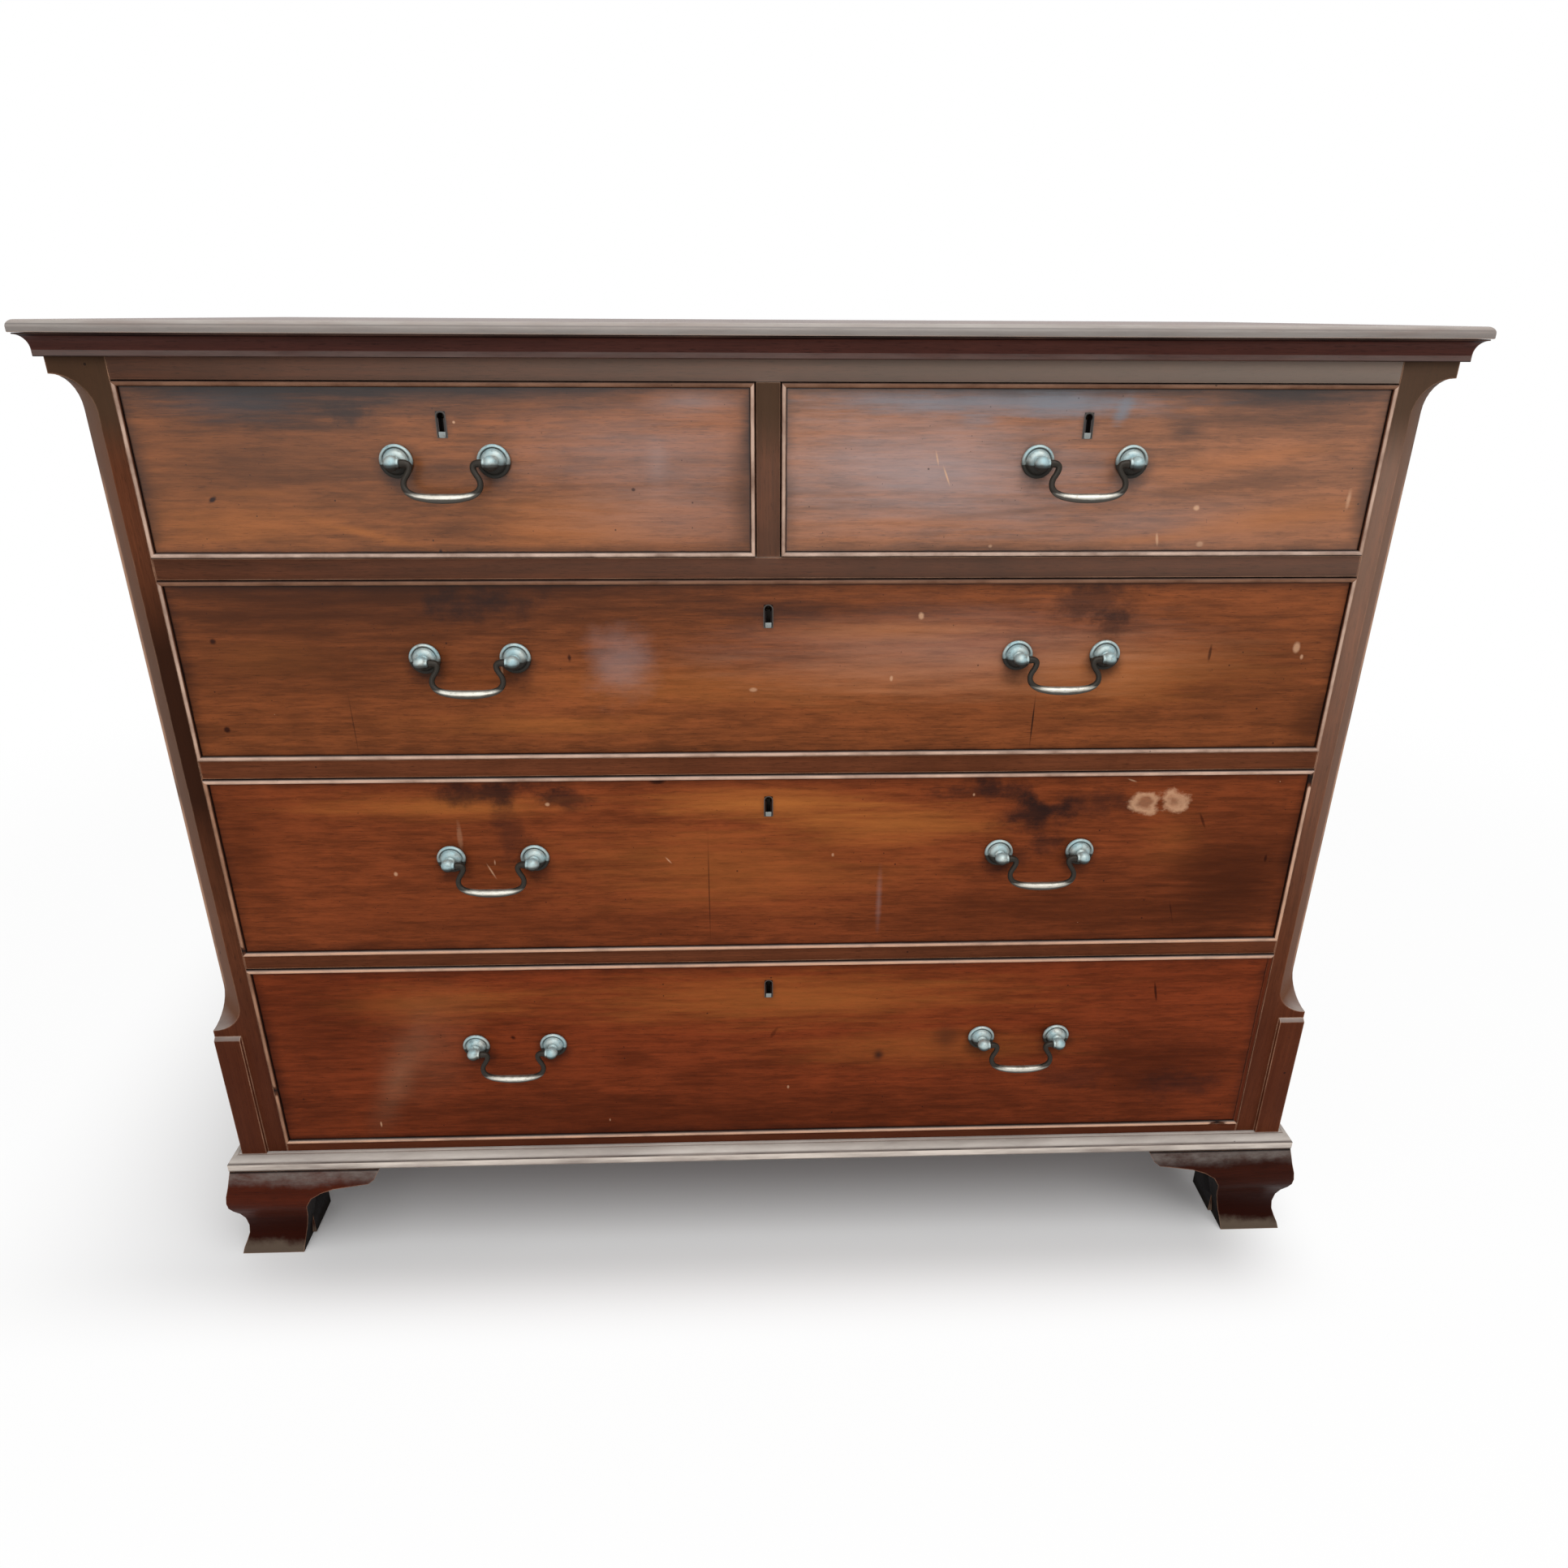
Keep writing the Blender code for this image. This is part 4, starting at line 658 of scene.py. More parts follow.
def front_material(drawer, colours, bead_width):
    """The figured face of one drawer front, with its marks, and painted shade with grime round its
    metalwork.
    """
    colour = getattr(colours, drawer)
    wood = Wood("front_" + drawer, colour, seed=FRONT_SEEDS[drawer], contrast=0.90, ribbon=0.14)
    mottle(wood, colour)
    low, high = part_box(drawer + "_front")
    size = high - low
    lay_marks(wood, drawer, colours, low, size)
    # Painted shade with grime: below each rose, where the handle's shadow falls, and along edge and
    # bead
    grime = scaled(colours.stain, 0.6)
    for handle in DRAWERS[drawer]:
        for hand in HANDS:
            post_low, post_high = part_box(f"{handle}_post_{hand}")
            centre = (post_low + post_high) / 2
            radius = (post_high.x - post_low.x) / 2
            grimy_and_shaded = wood.mark(
                (centre.x, centre.z - radius * ROSE_GRIME_SHADE_DROP),
                [radius * share for share in ROSE_GRIME_SHADE_REACH], ragged=1.2)
            wood.tint(grimy_and_shaded, grime, 0.68)
    inner = size / 2 - Vector((1, 0, 1)) * bead_width
    for half, (width, strength) in ((size / 2, EDGE_GRIME_SHADE), (inner, BEAD_GRIME_SHADE)):
        wood.tint(wood.border((low + high) / 2, half, width, wood.ragged), grime, strength)
    # The keyhole painted near black, as painted shade for the dark hole, and darker round it
    across, height = (low.x + high.x) / 2, high.z - KEY_DROP
    hole = wood.border(
        (across, FRONT_Y, height + (RING_HALF - RING_DROP) / 2),
        (RING_HALF, 1.0, (RING_HALF + RING_DROP) / 2), 0.0006)
    wood.tint(wood.minus(1.0, hole, clamp=True), scaled(colours.stain, 0.2), 0.95)
    round_hole = wood.mark((across, height - RING_DROP * 0.4), (RING_HALF * 2.4, RING_DROP), 0, 1.0)
    wood.tint(round_hole, scaled(colours.stain, 0.8), 0.35)
    if drawer == "middle":
        lay_rings(wood, colours.ring, low, size)
    wood.specks(95.0, 0.24, 0.085, scaled(colours.stain, 0.7), 0.70)
    wood.specks(230.0, 0.24, 0.130, scaled(colours.stain, 0.9), 0.60)
    wood.specks(47.0, 0.05, 0.040, colours.ring, 0.55)
    gloss, sheen = FRONT_POLISH[drawer]
    return wood.done(bump=0.00008, specular=gloss, coat=wood.sheen(sheen))


# Heights on the carcass: where it turns red, where the posts' heads begin and end, and the middles
# of the left post's dark waist and of the posts' shafts, whose outer arrises are rubbed and painted
# with a highlight
RED_HIGH, RED_LOW = 0.40, 0.22
HEAD_LOW, HEAD_HIGH = 0.800, 0.855
WAIST, WAIST_CORE, WAIST_REACH, WAIST_SHADE = 0.59, 0.07, 0.15, 0.95
SHAFT, SHAFT_CORE, SHAFT_REACH = 0.55, 0.22, 0.26
# How far the canted face of a post goes back, and how wide its outer arris, rubbed and painted
# with a highlight, is
CANT = 0.0370
ARRIS_CORE, ARRIS_WIDTH = 0.0035, 0.0090
# Heights between which the carcass's painted sheen grows
SHEEN_LOW, SHEEN_HIGH = 0.30, 0.84


def post_tints(wood, colours, place):
    """What only posts and muntin have: brown heads, warmer cants, and rubbed outer arrises with a
    painted highlight.
    """
    head = wood.span(place["Z"], HEAD_LOW, HEAD_HIGH, smooth=True)
    wood.tint(head, scaled(colours.dust, 0.060, 1.62), 0.85)
    sideways = wood.math("ABSOLUTE", wood.axes(wood.normal())["X"])
    canted = wood.times(wood.span(sideways, 0.50, 0.66), wood.span(sideways, 0.95, 0.86))
    wood.tint(canted, scaled(colours.worn, 0.22, 1.22), 0.60)
    outer = wood.math("ABSOLUTE", place["X"])
    outer = wood.span(outer, HALF_WIDTH - ARRIS_WIDTH, HALF_WIDTH - ARRIS_CORE, smooth=True)
    ahead = wood.math("LESS_THAN", place["Y"], FRONT_Y + CANT + 0.0015)
    shaft = wood.span(wood.away(place["Z"], SHAFT), SHAFT_REACH, SHAFT_CORE, smooth=True)
    patches = wood.clouds((60.0, 60.0, 22.0), 4.0, 0.65, 0.32, 0.55)
    # Rubbed wood with a painted highlight along the outer arris of the shaft
    rubbed_and_lit = wood.times(wood.times(outer, patches), wood.times(ahead, shaft))
    wood.tint(rubbed_and_lit, colours.worn, 0.70)


def carcass_material(name, colour, colours, along, seed, wear=0.7, haze=0.0):
    """Dark mahogany of posts, rails and sides, rubbed along its arrises, redder low down, with
    painted sheen.
    """
    wood = Wood(name, colour, along=along, seed=seed, contrast=0.9, ribbon=0.12)
    wood.tint(wood.clouds((7.0, 7.0, 9.0), 4.0, 0.6, 0.48, 0.72), scaled(colour, 0.45), 0.6)
    place = wood.axes(wood.place)
    wood.tint(wood.span(place["Z"], RED_HIGH, RED_LOW, smooth=True), colours.foot, 0.55)
    upright = along == "Z"
    if upright:
        waist = wood.span(wood.away(place["Z"], WAIST), WAIST_REACH, WAIST_CORE)
        left = wood.math("LESS_THAN", place["X"], 0.0)
        wood.tint(wood.times(wood.times(waist, WAIST_SHADE), left), scaled(colour, 0.30))
    # Painted sheen of the bright room, growing upwards and towards the right
    if haze:
        across = wood.span(place["X"], -HALF_WIDTH, HALF_WIDTH, 0.1, 1.0)
        sheen_colour = scaled(colours.dust, 0.50, 1.14 if upright else 1.08)
        wood.tint(wood.times(wood.sheen(1.0, SHEEN_LOW, SHEEN_HIGH), across), sheen_colour, haze)
    if upright:
        post_tints(wood, colours, place)
    wood.specks(60.0, 0.14, 0.09, scaled(colours.stain, 0.7), 0.7)
    wood.wear(colours.worn, 0.0018, wear)
    wood.dust(colours.dust, 0.60, 0.38, 0.9)
    wood.dull(1.0, 0.6)
    return wood.done(specular=0.04)


# A cockbead, by how proud of the front: where its foot's painted shade and dirt ends and begins,
# and where its rubbed nose, which also carries a painted highlight, begins and is full
BEAD_SHADED, BEAD_FOOT = 0.0008, 0.0021
NOSE_START, NOSE_FULL = 0.0022, 0.0031
# Heights between which the beads go from dust and painted sheen to the warmer tone of rubbed wood
BEAD_SHEEN_HIGH, BEAD_SHEEN_LOW = 0.64, 0.40


def bead_material(name, colours, along, shade, pale, dust_sheen_share=0.0):
    """A cockbead: painted shade with dirt at its foot; wear and a painted highlight along the nose.
    """
    wood = Wood(name, scaled(colours.bead, shade), along=along, seed=2.2, contrast=0.8, coarse=1.5)
    place = wood.axes(wood.place)
    nose = wood.span(place["Y"], FRONT_Y - NOSE_START, FRONT_Y - NOSE_FULL, smooth=True)
    rubbed_and_lit = wood.times(nose, wood.clouds((30.0, 30.0, 30.0), 4.0, 0.6, 0.30, 0.62, 0.35, 1.0))
    wood.tint(rubbed_and_lit, between(colours.worn, colours.dust, dust_sheen_share), pale)
    if dust_sheen_share:
        low = wood.times(rubbed_and_lit, wood.span(place["Z"], BEAD_SHEEN_HIGH, BEAD_SHEEN_LOW))
        wood.tint(low, colours.worn, pale * 0.9)
    wood.dust(colours.dust, 0.30 * pale, 0.2, 0.9)
    # Painted shade with dirt where the bead meets the front
    foot = wood.span(place["Y"], FRONT_Y - BEAD_FOOT, FRONT_Y - BEAD_SHADED, smooth=True)
    wood.tint(foot, scaled(colours.stain, 0.5), 0.92)
    wood.specks(120.0, 0.12, 0.10, colours.stain, 0.7)
    return wood.done(specular=0.05)


def moulding_material(name, colours, worn, dust, seed, bands):
    """A moulding: dust, painted sheen and rubbing upwards; by height, pale bands and painted shade
    lines.
    """
    wood = Wood(name, colours.moulding, seed=seed, contrast=0.8, ribbon=0.1)
    wood.wear(colours.worn, 0.0014, worn, 0.5)
    wood.dust(colours.dust, dust, -0.02, 0.55)
    height = wood.axes(wood.place)["Z"]
    patches = wood.clouds((9.0, 60.0, 60.0), 4.0, 0.6, 0.35, 0.60, 0.45, 1.0)
    for base, top, colour, strength in bands:
        over = wood.math("GREATER_THAN", height, base)
        band = wood.times(over, wood.math("LESS_THAN", height, top))
        wood.tint(wood.times(band, patches), colour, strength)
    wood.specks(75.0, 0.10, 0.10, scaled(colours.stain, 0.8), 0.6)
    return wood.done(specular=0.06)


# The top's pale edge of dust and painted sheen: how far in it is full and ends; its lower part in
# painted shade; and a thin dark line in it, by how far under the surface it runs, its half width
# and the half width of its darkest part
EDGE_FULL, EDGE_END = 0.004, 0.012
EDGE_SHADE_FULL, EDGE_SHADE_END = 0.0030, 0.0085
LINE_DEPTH, LINE_HALF, LINE_CORE = 0.0030, 0.0008, 0.0002


def top_material(colours):
    """The top board: long figure, rings and scratches, a pale edge of dust and painted sheen."""
    wood = Wood("top", colours.top, seed=8.4, contrast=1.0, ribbon=0.18)
    dark_tone = scaled(colours.stain, 1.5)
    wood.tint(wood.clouds((2.4, 5.0, 5.0), 5.0, 0.6, 0.45, 0.75), scaled(colours.stain, 1.2), 0.5)
    place = wood.axes(wood.place)
    front = wood.span(place["Y"], TOP_LOW.y + EDGE_END, TOP_LOW.y + EDGE_FULL, smooth=True)
    sides = wood.math("ABSOLUTE", place["X"])
    sides = wood.span(sides, TOP_HIGH.x - EDGE_END, TOP_HIGH.x - EDGE_FULL, smooth=True)
    patches = wood.clouds((11.0, 60.0, 120.0), 4.0, 0.6, 0.25, 0.65, 0.55, 1.0)
    # A pale edge: dust with a painted sheen of the sky
    edge = wood.times(wood.math("MAXIMUM", front, sides), patches)
    wood.tint(edge, scaled(colours.dust, 0.84, 0.99), 0.84)
    # Painted shade on the lower part of the edge, under its round
    wood.tint(wood.span(place["Z"], TOP_LOW.z + EDGE_SHADE_END, TOP_LOW.z + EDGE_SHADE_FULL), dark_tone, 0.46)
    dark_line = wood.span(wood.away(place["Z"], TOP_HIGH.z - LINE_DEPTH), LINE_HALF, LINE_CORE)
    wood.tint(wood.times(dark_line, edge), dark_tone, 0.45)
    wood.wear(colours.worn, 0.0014, 0.6, 0.5)
    wood.specks(45.0, 0.10, 0.05, colours.ring, 0.5)
    wood.dull(edge, 0.6, 0.8)
    return wood.done(specular=0.4, coat=0.15)


# Heights on a foot: its hollow in painted shade, its scuffed base, its rubbed shoulder and the
# shadow line under the base moulding
HOLLOW_SHADE_START, HOLLOW_SHADE_FULL = 0.060, 0.034
SCUFF_TOP, SCUFF_FULL = 0.016, 0.006
SHOULDER_START, SHOULDER_FULL = 0.088, 0.101
SHADOW_START, SHADOW_FULL = FOOT_TOP - 0.0035, FOOT_TOP - 0.0020


def foot_material(name, colour, colours, seed, inward, scuffs):
    """A bracket foot: painted shade in its hollow and inside, rubbed above, scuffed at the floor.
    """
    wood = Wood(name, colour, seed=seed, contrast=0.9, ribbon=0.15)
    height = wood.axes(wood.place)["Z"]
    # Painted shade in the ogee's hollow
    hollow = wood.span(height, HOLLOW_SHADE_START, HOLLOW_SHADE_FULL, smooth=True)
    wood.tint(hollow, scaled(colours.foot, 0.15, 1.50), 0.84)
    uneven = wood.math("ADD", height, wood.times(wood.ragged, 0.022))
    scuffed = wood.span(uneven, SCUFF_TOP, SCUFF_FULL, smooth=True)
    wood.tint(scuffed, scaled(colours.dust, 0.17, 1.24), scuffs)
    wood.dull(scuffed, 0.7, scuffs)
    shoulder = wood.span(uneven, SHOULDER_START, SHOULDER_FULL, smooth=True)
    patches = wood.clouds((40.0, 40.0, 90.0), 5.0, 0.7, 0.35, 0.65, 0.3, 1.0)
    wood.tint(wood.times(shoulder, patches), scaled(colours.dust, 0.42), 0.55)
    wood.tint(wood.span(height, SHADOW_START, SHADOW_FULL), scaled(colours.stain, 0.3), 0.9)
    wood.specks(90.0, 0.16, 0.09, scaled(colours.ring, 0.8), 0.5)
    wood.wear(colours.worn, 0.0016, 0.45)
    # Painted shade on the front feet's faces turned inwards and back
    inside = wood.span(wood.vector("DOT_PRODUCT", wood.normal(), (inward, 0.55, 0.0)), 0.35, 0.65)
    front = wood.span(wood.axes(wood.place)["Y"], 0.0, -0.05)
    wood.tint(wood.times(inside, front), scaled(colours.stain, 0.25), 0.92)
    return wood.done(specular=0.03)


def plain_wood_material(name, colour, along, seed):
    """Unpolished oak or pine: dry, with a little grime."""
    wood = Wood(name, colour, along=along, seed=seed, contrast=0.55, coarse=0.8, ribbon=0.05)
    wood.tint(wood.clouds((4.0, 4.0, 4.0), 5.0, 0.6, 0.45, 0.8), scaled(colour, 0.45), 0.6)
    wood.specks(30.0, 0.12, 0.12, scaled(colour, 0.25), 0.7)
    wood.dull(wood.figure, 0.85, 1.0)
    return wood.done(bump=0.0001, specular=0.3)


def metal_material(name, colour, patina, tarnish_and_shade, covered, rough, under, placed=False, hidden=0.0):
    """Old brass: bright where rubbed and lit, with a bloom and grime, and tarnish with painted
    shade below.
    """
    material = bpy.data.materials.new(name)
    material.use_nodes = True
    graph = Graph(material.node_tree)
    place = graph.here()
    clouds = graph.noise(place, (90.0, 90.0, 90.0), 5.0, 0.6)
    uneven = graph.minus(clouds, 0.5)
    facing = graph.axes(graph.normal())
    bloom = graph.span(clouds, 0.30, 0.62, 0.45, 1.0)
    mask = graph.math("MULTIPLY", bloom, covered, clamp=True)
    grime = graph.span(graph.noise(place, (260.0, 260.0, 260.0), 4.0), 0.55, 0.75)
    ragged = graph.math("ADD", facing["Z"], graph.times(uneven, 0.6))
    # Painted shade with tarnish on what faces down
    shaded_below = graph.span(ragged, 0.25, -0.25, 0.0, under, smooth=True)
    grime_and_shade = graph.math("MAXIMUM", shaded_below, graph.times(grime, 0.5))
    # Painted shade on faces turned to the front, where asked
    grime_and_shade = graph.math("MAXIMUM", grime_and_shade, graph.span(facing["Y"], -0.5, -0.8, 0.0, hidden))
    # Painted shade where the stored attribute is low: the rose's lower half and the bail's neck
    if placed:
        worn = graph.node("ShaderNodeAttribute", attribute_name=RUBBED_AND_LIT).outputs["Fac"]
        worn = graph.math("ADD", worn, graph.times(uneven, 0.5))
        grime_and_shade = graph.math("MAXIMUM", grime_and_shade, graph.span(worn, 0.75, 0.25, 0.0, 0.98, smooth=True))
    metal = graph.times(graph.span(mask, 0.0, 1.0, 1.0, 0.35), graph.span(grime_and_shade, 0.0, 1.0, 1.0, 0.3))
    pitted = graph.noise(place, (900.0, 900.0, 900.0), 3.0)
    relief = graph.node("ShaderNodeBump", {"Height": pitted, "Strength": 1.0, "Distance": 0.00008})
    inputs = material.node_tree.nodes["Principled BSDF"].inputs
    for socket, value in {
            "Base Color": graph.mix(grime_and_shade, graph.mix(mask, colour, patina), tarnish_and_shade),
            "Metallic": metal, "Roughness": graph.span(mask, 0.0, 1.0, rough, rough + 0.16),
            "Normal": relief.outputs[0], "Specular IOR Level": 0.12}.items():
        graph.feed(inputs[socket], value)
    return material


FINISHES = {}


def keep(make, name, *values, **named):
    FINISHES[name] = make(name, *values, **named)


def make_finishes(colours, bead_width):
    """Every material of the chest, by the name that the pieces ask for."""
    make_groups()
    for drawer in DRAWERS:
        FINISHES["front_" + drawer] = front_material(drawer, colours, bead_width)
    stain, dust = colours.stain, colours.dust
    # The right post is painted lighter than the left; it, the muntin, frieze and rails carry
    # painted sheen
    for name, colour, along, seed, wear, haze in (
            ("post_left", scaled(colours.carcass, 1.06, 0.95), "Z", 0.9, 0.7, 0.0),
            ("post_right", scaled(colours.carcass, 1.60), "Z", 2.3, 0.7, 0.36),
            ("muntin", scaled(colours.carcass, 1.15), "Z", 4.1, 0.4, 0.22),
            ("frieze", scaled(colours.carcass, 0.85), "X", 5.2, 0.15, 0.60),
            ("rail", colours.carcass, "X", 1.7, 0.7, 0.20),
            ("rail_low", scaled(colours.carcass, 1.45), "X", 2.9, 0.7, 0.0),
            ("bead_lost", scaled(colours.lower, 0.72), "Z", 8.8, 0.1, 0.0)):
        keep(carcass_material, name, colour, colours, along, seed, wear, haze)
    FINISHES["top"] = top_material(colours)
    # Painted shadow under the top and painted shade under the fillet; a pale band of dust and sheen
    keep(moulding_material, "under_moulding", colours, 0.25, 0.20, 5.1, (
        (UNDER_HIGH.z - 0.0022, UNDER_HIGH.z, scaled(stain, 0.6), 0.8),
        (UNDER_LOW.z + 0.0007, UNDER_LOW.z + 0.0046, dust, 0.12),
        (UNDER_LOW.z - HAIR, UNDER_LOW.z + 0.0007, scaled(stain, 0.5), 0.8)))
    # Pale bands of dust and sheen; painted shade in the quirk and under the fillet
    keep(moulding_material, "base_moulding", colours, 0.55, 1.0, 7.3, (
        (BASE_FILLET, BASE_HIGH.z + HAIR, dust, 0.30),
        (BASE_LOW.z, BASE_FILLET - 0.0006, scaled(dust, 1.30, 1.03), 0.94),
        (BASE_FILLET - 0.0004, BASE_FILLET + 0.0006, scaled(stain, 0.8), 0.75),
        (BASE_LOW.z - HAIR, BASE_LOW.z + 0.0012, scaled(stain, 0.5), 0.7)))
    keep(foot_material, "foot_left", colours.foot, colours, 0.4, 1.0, 0.80)
    # The right feet are a darker copy of the same mahogany, as painted shade
    keep(foot_material, "foot_right", scaled(colours.foot, 0.60, 0.88), colours, 2.6, -1.0, 0.85)
    # Lit and shaded copies of the bead finish: lighter level strips, darker uprights and top strips
    keep(bead_material, "bead_level", colours, "X", 1.05, 0.98, 0.50)
    keep(bead_material, "bead_upright", colours, "Z", 0.95, 0.90, 0.40)
    keep(bead_material, "bead_low", colours, "Z", 0.85, 0.58)
    keep(bead_material, "bead_top", colours, "X", 0.75, 0.26)
    keep(plain_wood_material, "oak_side", colours.oak, "Y", 6.3)
    keep(plain_wood_material, "pine", colours.pine, "X", 9.9)
    patina, tarnish_and_shade = colours.patina, colours.tarnish_and_shade
    keep(metal_material, "rose_brass", colours.brass, patina, tarnish_and_shade, 1.0, 0.40, 0.88, True)
    keep(metal_material, "bail_brass", colours.brass, patina, tarnish_and_shade, 0.30, 0.30, 0.88, True)
    keep(metal_material, "thread_brass", scaled(dust, 0.26), tarnish_and_shade, tarnish_and_shade, 0.30, 0.60, 0.5)
    # The sill's pale brass is a painted highlight for the keyhole's lit floor
    keep(metal_material, "sill_brass", scaled(dust, 0.44), patina, tarnish_and_shade, 0.3, 0.60, 0.3)
    # The lock's faces turned to the front, seen through the keyhole, are painted in shade
    keep(metal_material, "lock_brass", colours.lock, stain, tarnish_and_shade, 0.35, 0.45, 0.2, hidden=1.0)
    keep(metal_material, "iron", colours.iron, stain, tarnish_and_shade, 0.5, 0.6, 0.2)


# Modelling by hand

def choose_none():
    bpy.ops.object.select_all(action="DESELECT")


def only(piece):
    """Select one piece and make it active."""
    choose_none()
    piece.select_set(True)
    bpy.context.view_layer.objects.active = piece


def settle(piece):
    """Put a piece's place, turn and scale into its mesh."""
    only(piece)
    bpy.ops.object.transform_apply(location=True, rotation=True, scale=True)


def smooth(piece, angle=40):
    """Shade a piece smooth, but for the edges that are sharper than an angle."""
    only(piece)
    bpy.ops.object.shade_smooth_by_angle(angle=math.radians(angle))


def name_piece(name):
    piece = bpy.context.object
    piece.name = name
    piece.data.name = name
    return piece


def start_box(name, low, high):
    """A cube at its size and place."""
    low, high = Vector(low), Vector(high)
    choose_none()
    bpy.ops.mesh.primitive_cube_add(size=1, location=(low + high) / 2, scale=high - low)
    piece = name_piece(name)
    settle(piece)
    return piece


def edit(piece, kind="VERT"):
    """Open a piece in edit mode with nothing selected."""
    only(piece)
    bpy.ops.object.mode_set(mode="EDIT")
    bpy.ops.mesh.select_mode(type=kind)
    bpy.ops.mesh.select_all(action="DESELECT")


def leave():
    bpy.ops.object.mode_set(mode="OBJECT")


def take_all():
    bpy.ops.mesh.select_all(action="SELECT")


def face_outwards():
    """In edit mode, turn every face outwards."""
    take_all()
    bpy.ops.mesh.normals_make_consistent(inside=False)


def weld():
    """In edit mode, merge the corners that meet."""
    take_all()
    bpy.ops.mesh.remove_doubles(threshold=MERGE)


def choose(kind, test):
    """In edit mode, select the corners, edges or faces that pass a test, and nothing else."""
    bpy.ops.mesh.select_all(action="DESELECT")
    mesh = bmesh.from_edit_mesh(bpy.context.object.data)
    for item in getattr(mesh, kind):
        if test(item):
            item.select_set(True)
    mesh.select_flush_mode()
    bmesh.update_edit_mesh(bpy.context.object.data)


def flatten(share):
    """In edit mode, bring what is selected back towards the drawer fronts' face."""
    bpy.ops.transform.resize(
        value=(1, share, 1), center_override=(0, FRONT_Y, 0), orient_type="GLOBAL")


def middle(edge):
    return (edge.verts[0].co + edge.verts[1].co) / 2


def runs_along(edge, axis):
    """Whether an edge runs along an axis, 0 to 2."""
    return abs((edge.verts[1].co - edge.verts[0].co).normalized()[axis]) > 0.99


def draw_outline(name, points, closed=True):
    """Draw a flat outline as by hand: one corner, drawn out from point to point, then filled."""
    points = [Vector(point) for point in points]
    choose_none()
    bpy.ops.mesh.primitive_plane_add(size=HAIR, location=points[0])
    piece = name_piece(name)
    settle(piece)
    edit(piece)
    take_all()
    bpy.ops.mesh.merge(type="CENTER")
    for last, point in zip(points, points[1:]):
        bpy.ops.mesh.extrude_vertices_move(TRANSFORM_OT_translate={"value": point - last})
    if closed:
        take_all()
        bpy.ops.mesh.edge_face_add()
    leave()
    return piece


def draw_out(piece, way):
    """Extrude a flat outline into a solid whose faces point outwards."""
    edit(piece, "FACE")
    take_all()
    bpy.ops.mesh.extrude_region_move(TRANSFORM_OT_translate={"value": way})
    face_outwards()
    leave()


def turning(name, centre, along, profile, steps):
    """A piece turned about an axis, from a profile of radii and of distances along the axis."""
    across = (0, 0, 1) if along[0] else (1, 0, 0)
    points = [
        [start + out * radius + way * distance for start, out, way in zip(centre, across, along)]
        for radius, distance in profile]
    piece = draw_outline(name, points, closed=False)
    edit(piece)
    take_all()
    bpy.ops.mesh.spin(
        steps=steps, angle=2 * math.pi, center=centre, axis=[abs(part) for part in along])
    weld()
    face_outwards()
    leave()
    smooth(piece)
    return piece


def saw(piece, place, outward):
    """Cut a piece by a plane, keep the side away from outward, and close the cut."""
    edit(piece)
    take_all()
    bpy.ops.mesh.bisect(plane_co=place, plane_no=outward, use_fill=True, clear_outer=True)
    leave()


def round_edges(piece, test, radius, segments):
    """Bevel the edges that pass a test."""
    edit(piece, "EDGE")
    choose("edges", test)
    bpy.ops.mesh.bevel(offset=radius, segments=segments, profile=0.5, affect="EDGES")
    leave()


def ease(piece, width, angle=30):
    """Ease every sharp arris, and shade the rest smooth."""
    only(piece)
    bpy.ops.object.modifier_add(type="BEVEL")
    bevel = piece.modifiers[-1]
    bevel.width = width
    bevel.segments = 2
    bevel.limit_method = "ANGLE"
    bevel.angle_limit = math.radians(angle)
    bpy.ops.object.modifier_apply(modifier=bevel.name)
    smooth(piece, angle + 5)


def join(pieces):
    """Join pieces into the first of them."""
    choose_none()
    for piece in pieces:
        piece.select_set(True)
    bpy.context.view_layer.objects.active = pieces[0]
    bpy.ops.object.join()
    return pieces[0]


def copy_of(piece, name, shift):
    """A copy with its own mesh, moved by shift."""
    only(piece)
    bpy.ops.object.duplicate(linked=False)
    copied = name_piece(name)
    copied.location = copied.location + Vector(shift)
    settle(copied)
    return copied


def finish(piece, material, body, slot, *nodes):
    """Give a piece its finish, its body and the nodes that it stands for; the slot is not used."""
    if material is not None:
        piece.data.materials.clear()
        piece.data.materials.append(FINISHES[material])
    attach(piece, body)
    if nodes:
        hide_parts(*nodes)


def store_rubbed_and_lit(piece, rubbed_and_lit):
    """Keep on every corner how rubbed and lit the metal is there; where low, the finish paints
    shade.
    """
    layer = piece.data.attributes.new(RUBBED_AND_LIT, "FLOAT", "POINT")
    layer.data.foreach_set(
        "value", [min(max(rubbed_and_lit(corner.co), 0.0), 1.0) for corner in piece.data.vertices])


def dress(node, material):
    """A CAD node that stays as it is gets a finish."""
    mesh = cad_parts[node].data
    mesh.materials.clear()
    mesh.materials.append(FINISHES[material])


def eased_copy(name, node, width, angle=30):
    """A copy of a node with its triangles merged into whole faces and its arrises eased."""
    piece = bpy.data.objects.new(name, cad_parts[node].data.copy())
    bpy.context.scene.collection.objects.link(piece)
    only(piece)
    bpy.ops.mesh.customdata_custom_splitnormals_clear()
    edit(piece)
    weld()
    bpy.ops.mesh.dissolve_limited(angle_limit=math.radians(1))
    bpy.ops.mesh.vert_connect_concave()
    leave()
    ease(piece, width, angle)
    return piece


def profile_arc(centre, radii, start, end, steps):
    """Points along part of an ellipse, angles in degrees."""
    across, up = centre
    points = []
    for step in range(steps + 1):
        angle = math.radians(start + (end - start) * step / steps)
        points.append((across + radii[0] * math.cos(angle), up + radii[1] * math.sin(angle)))
    return points


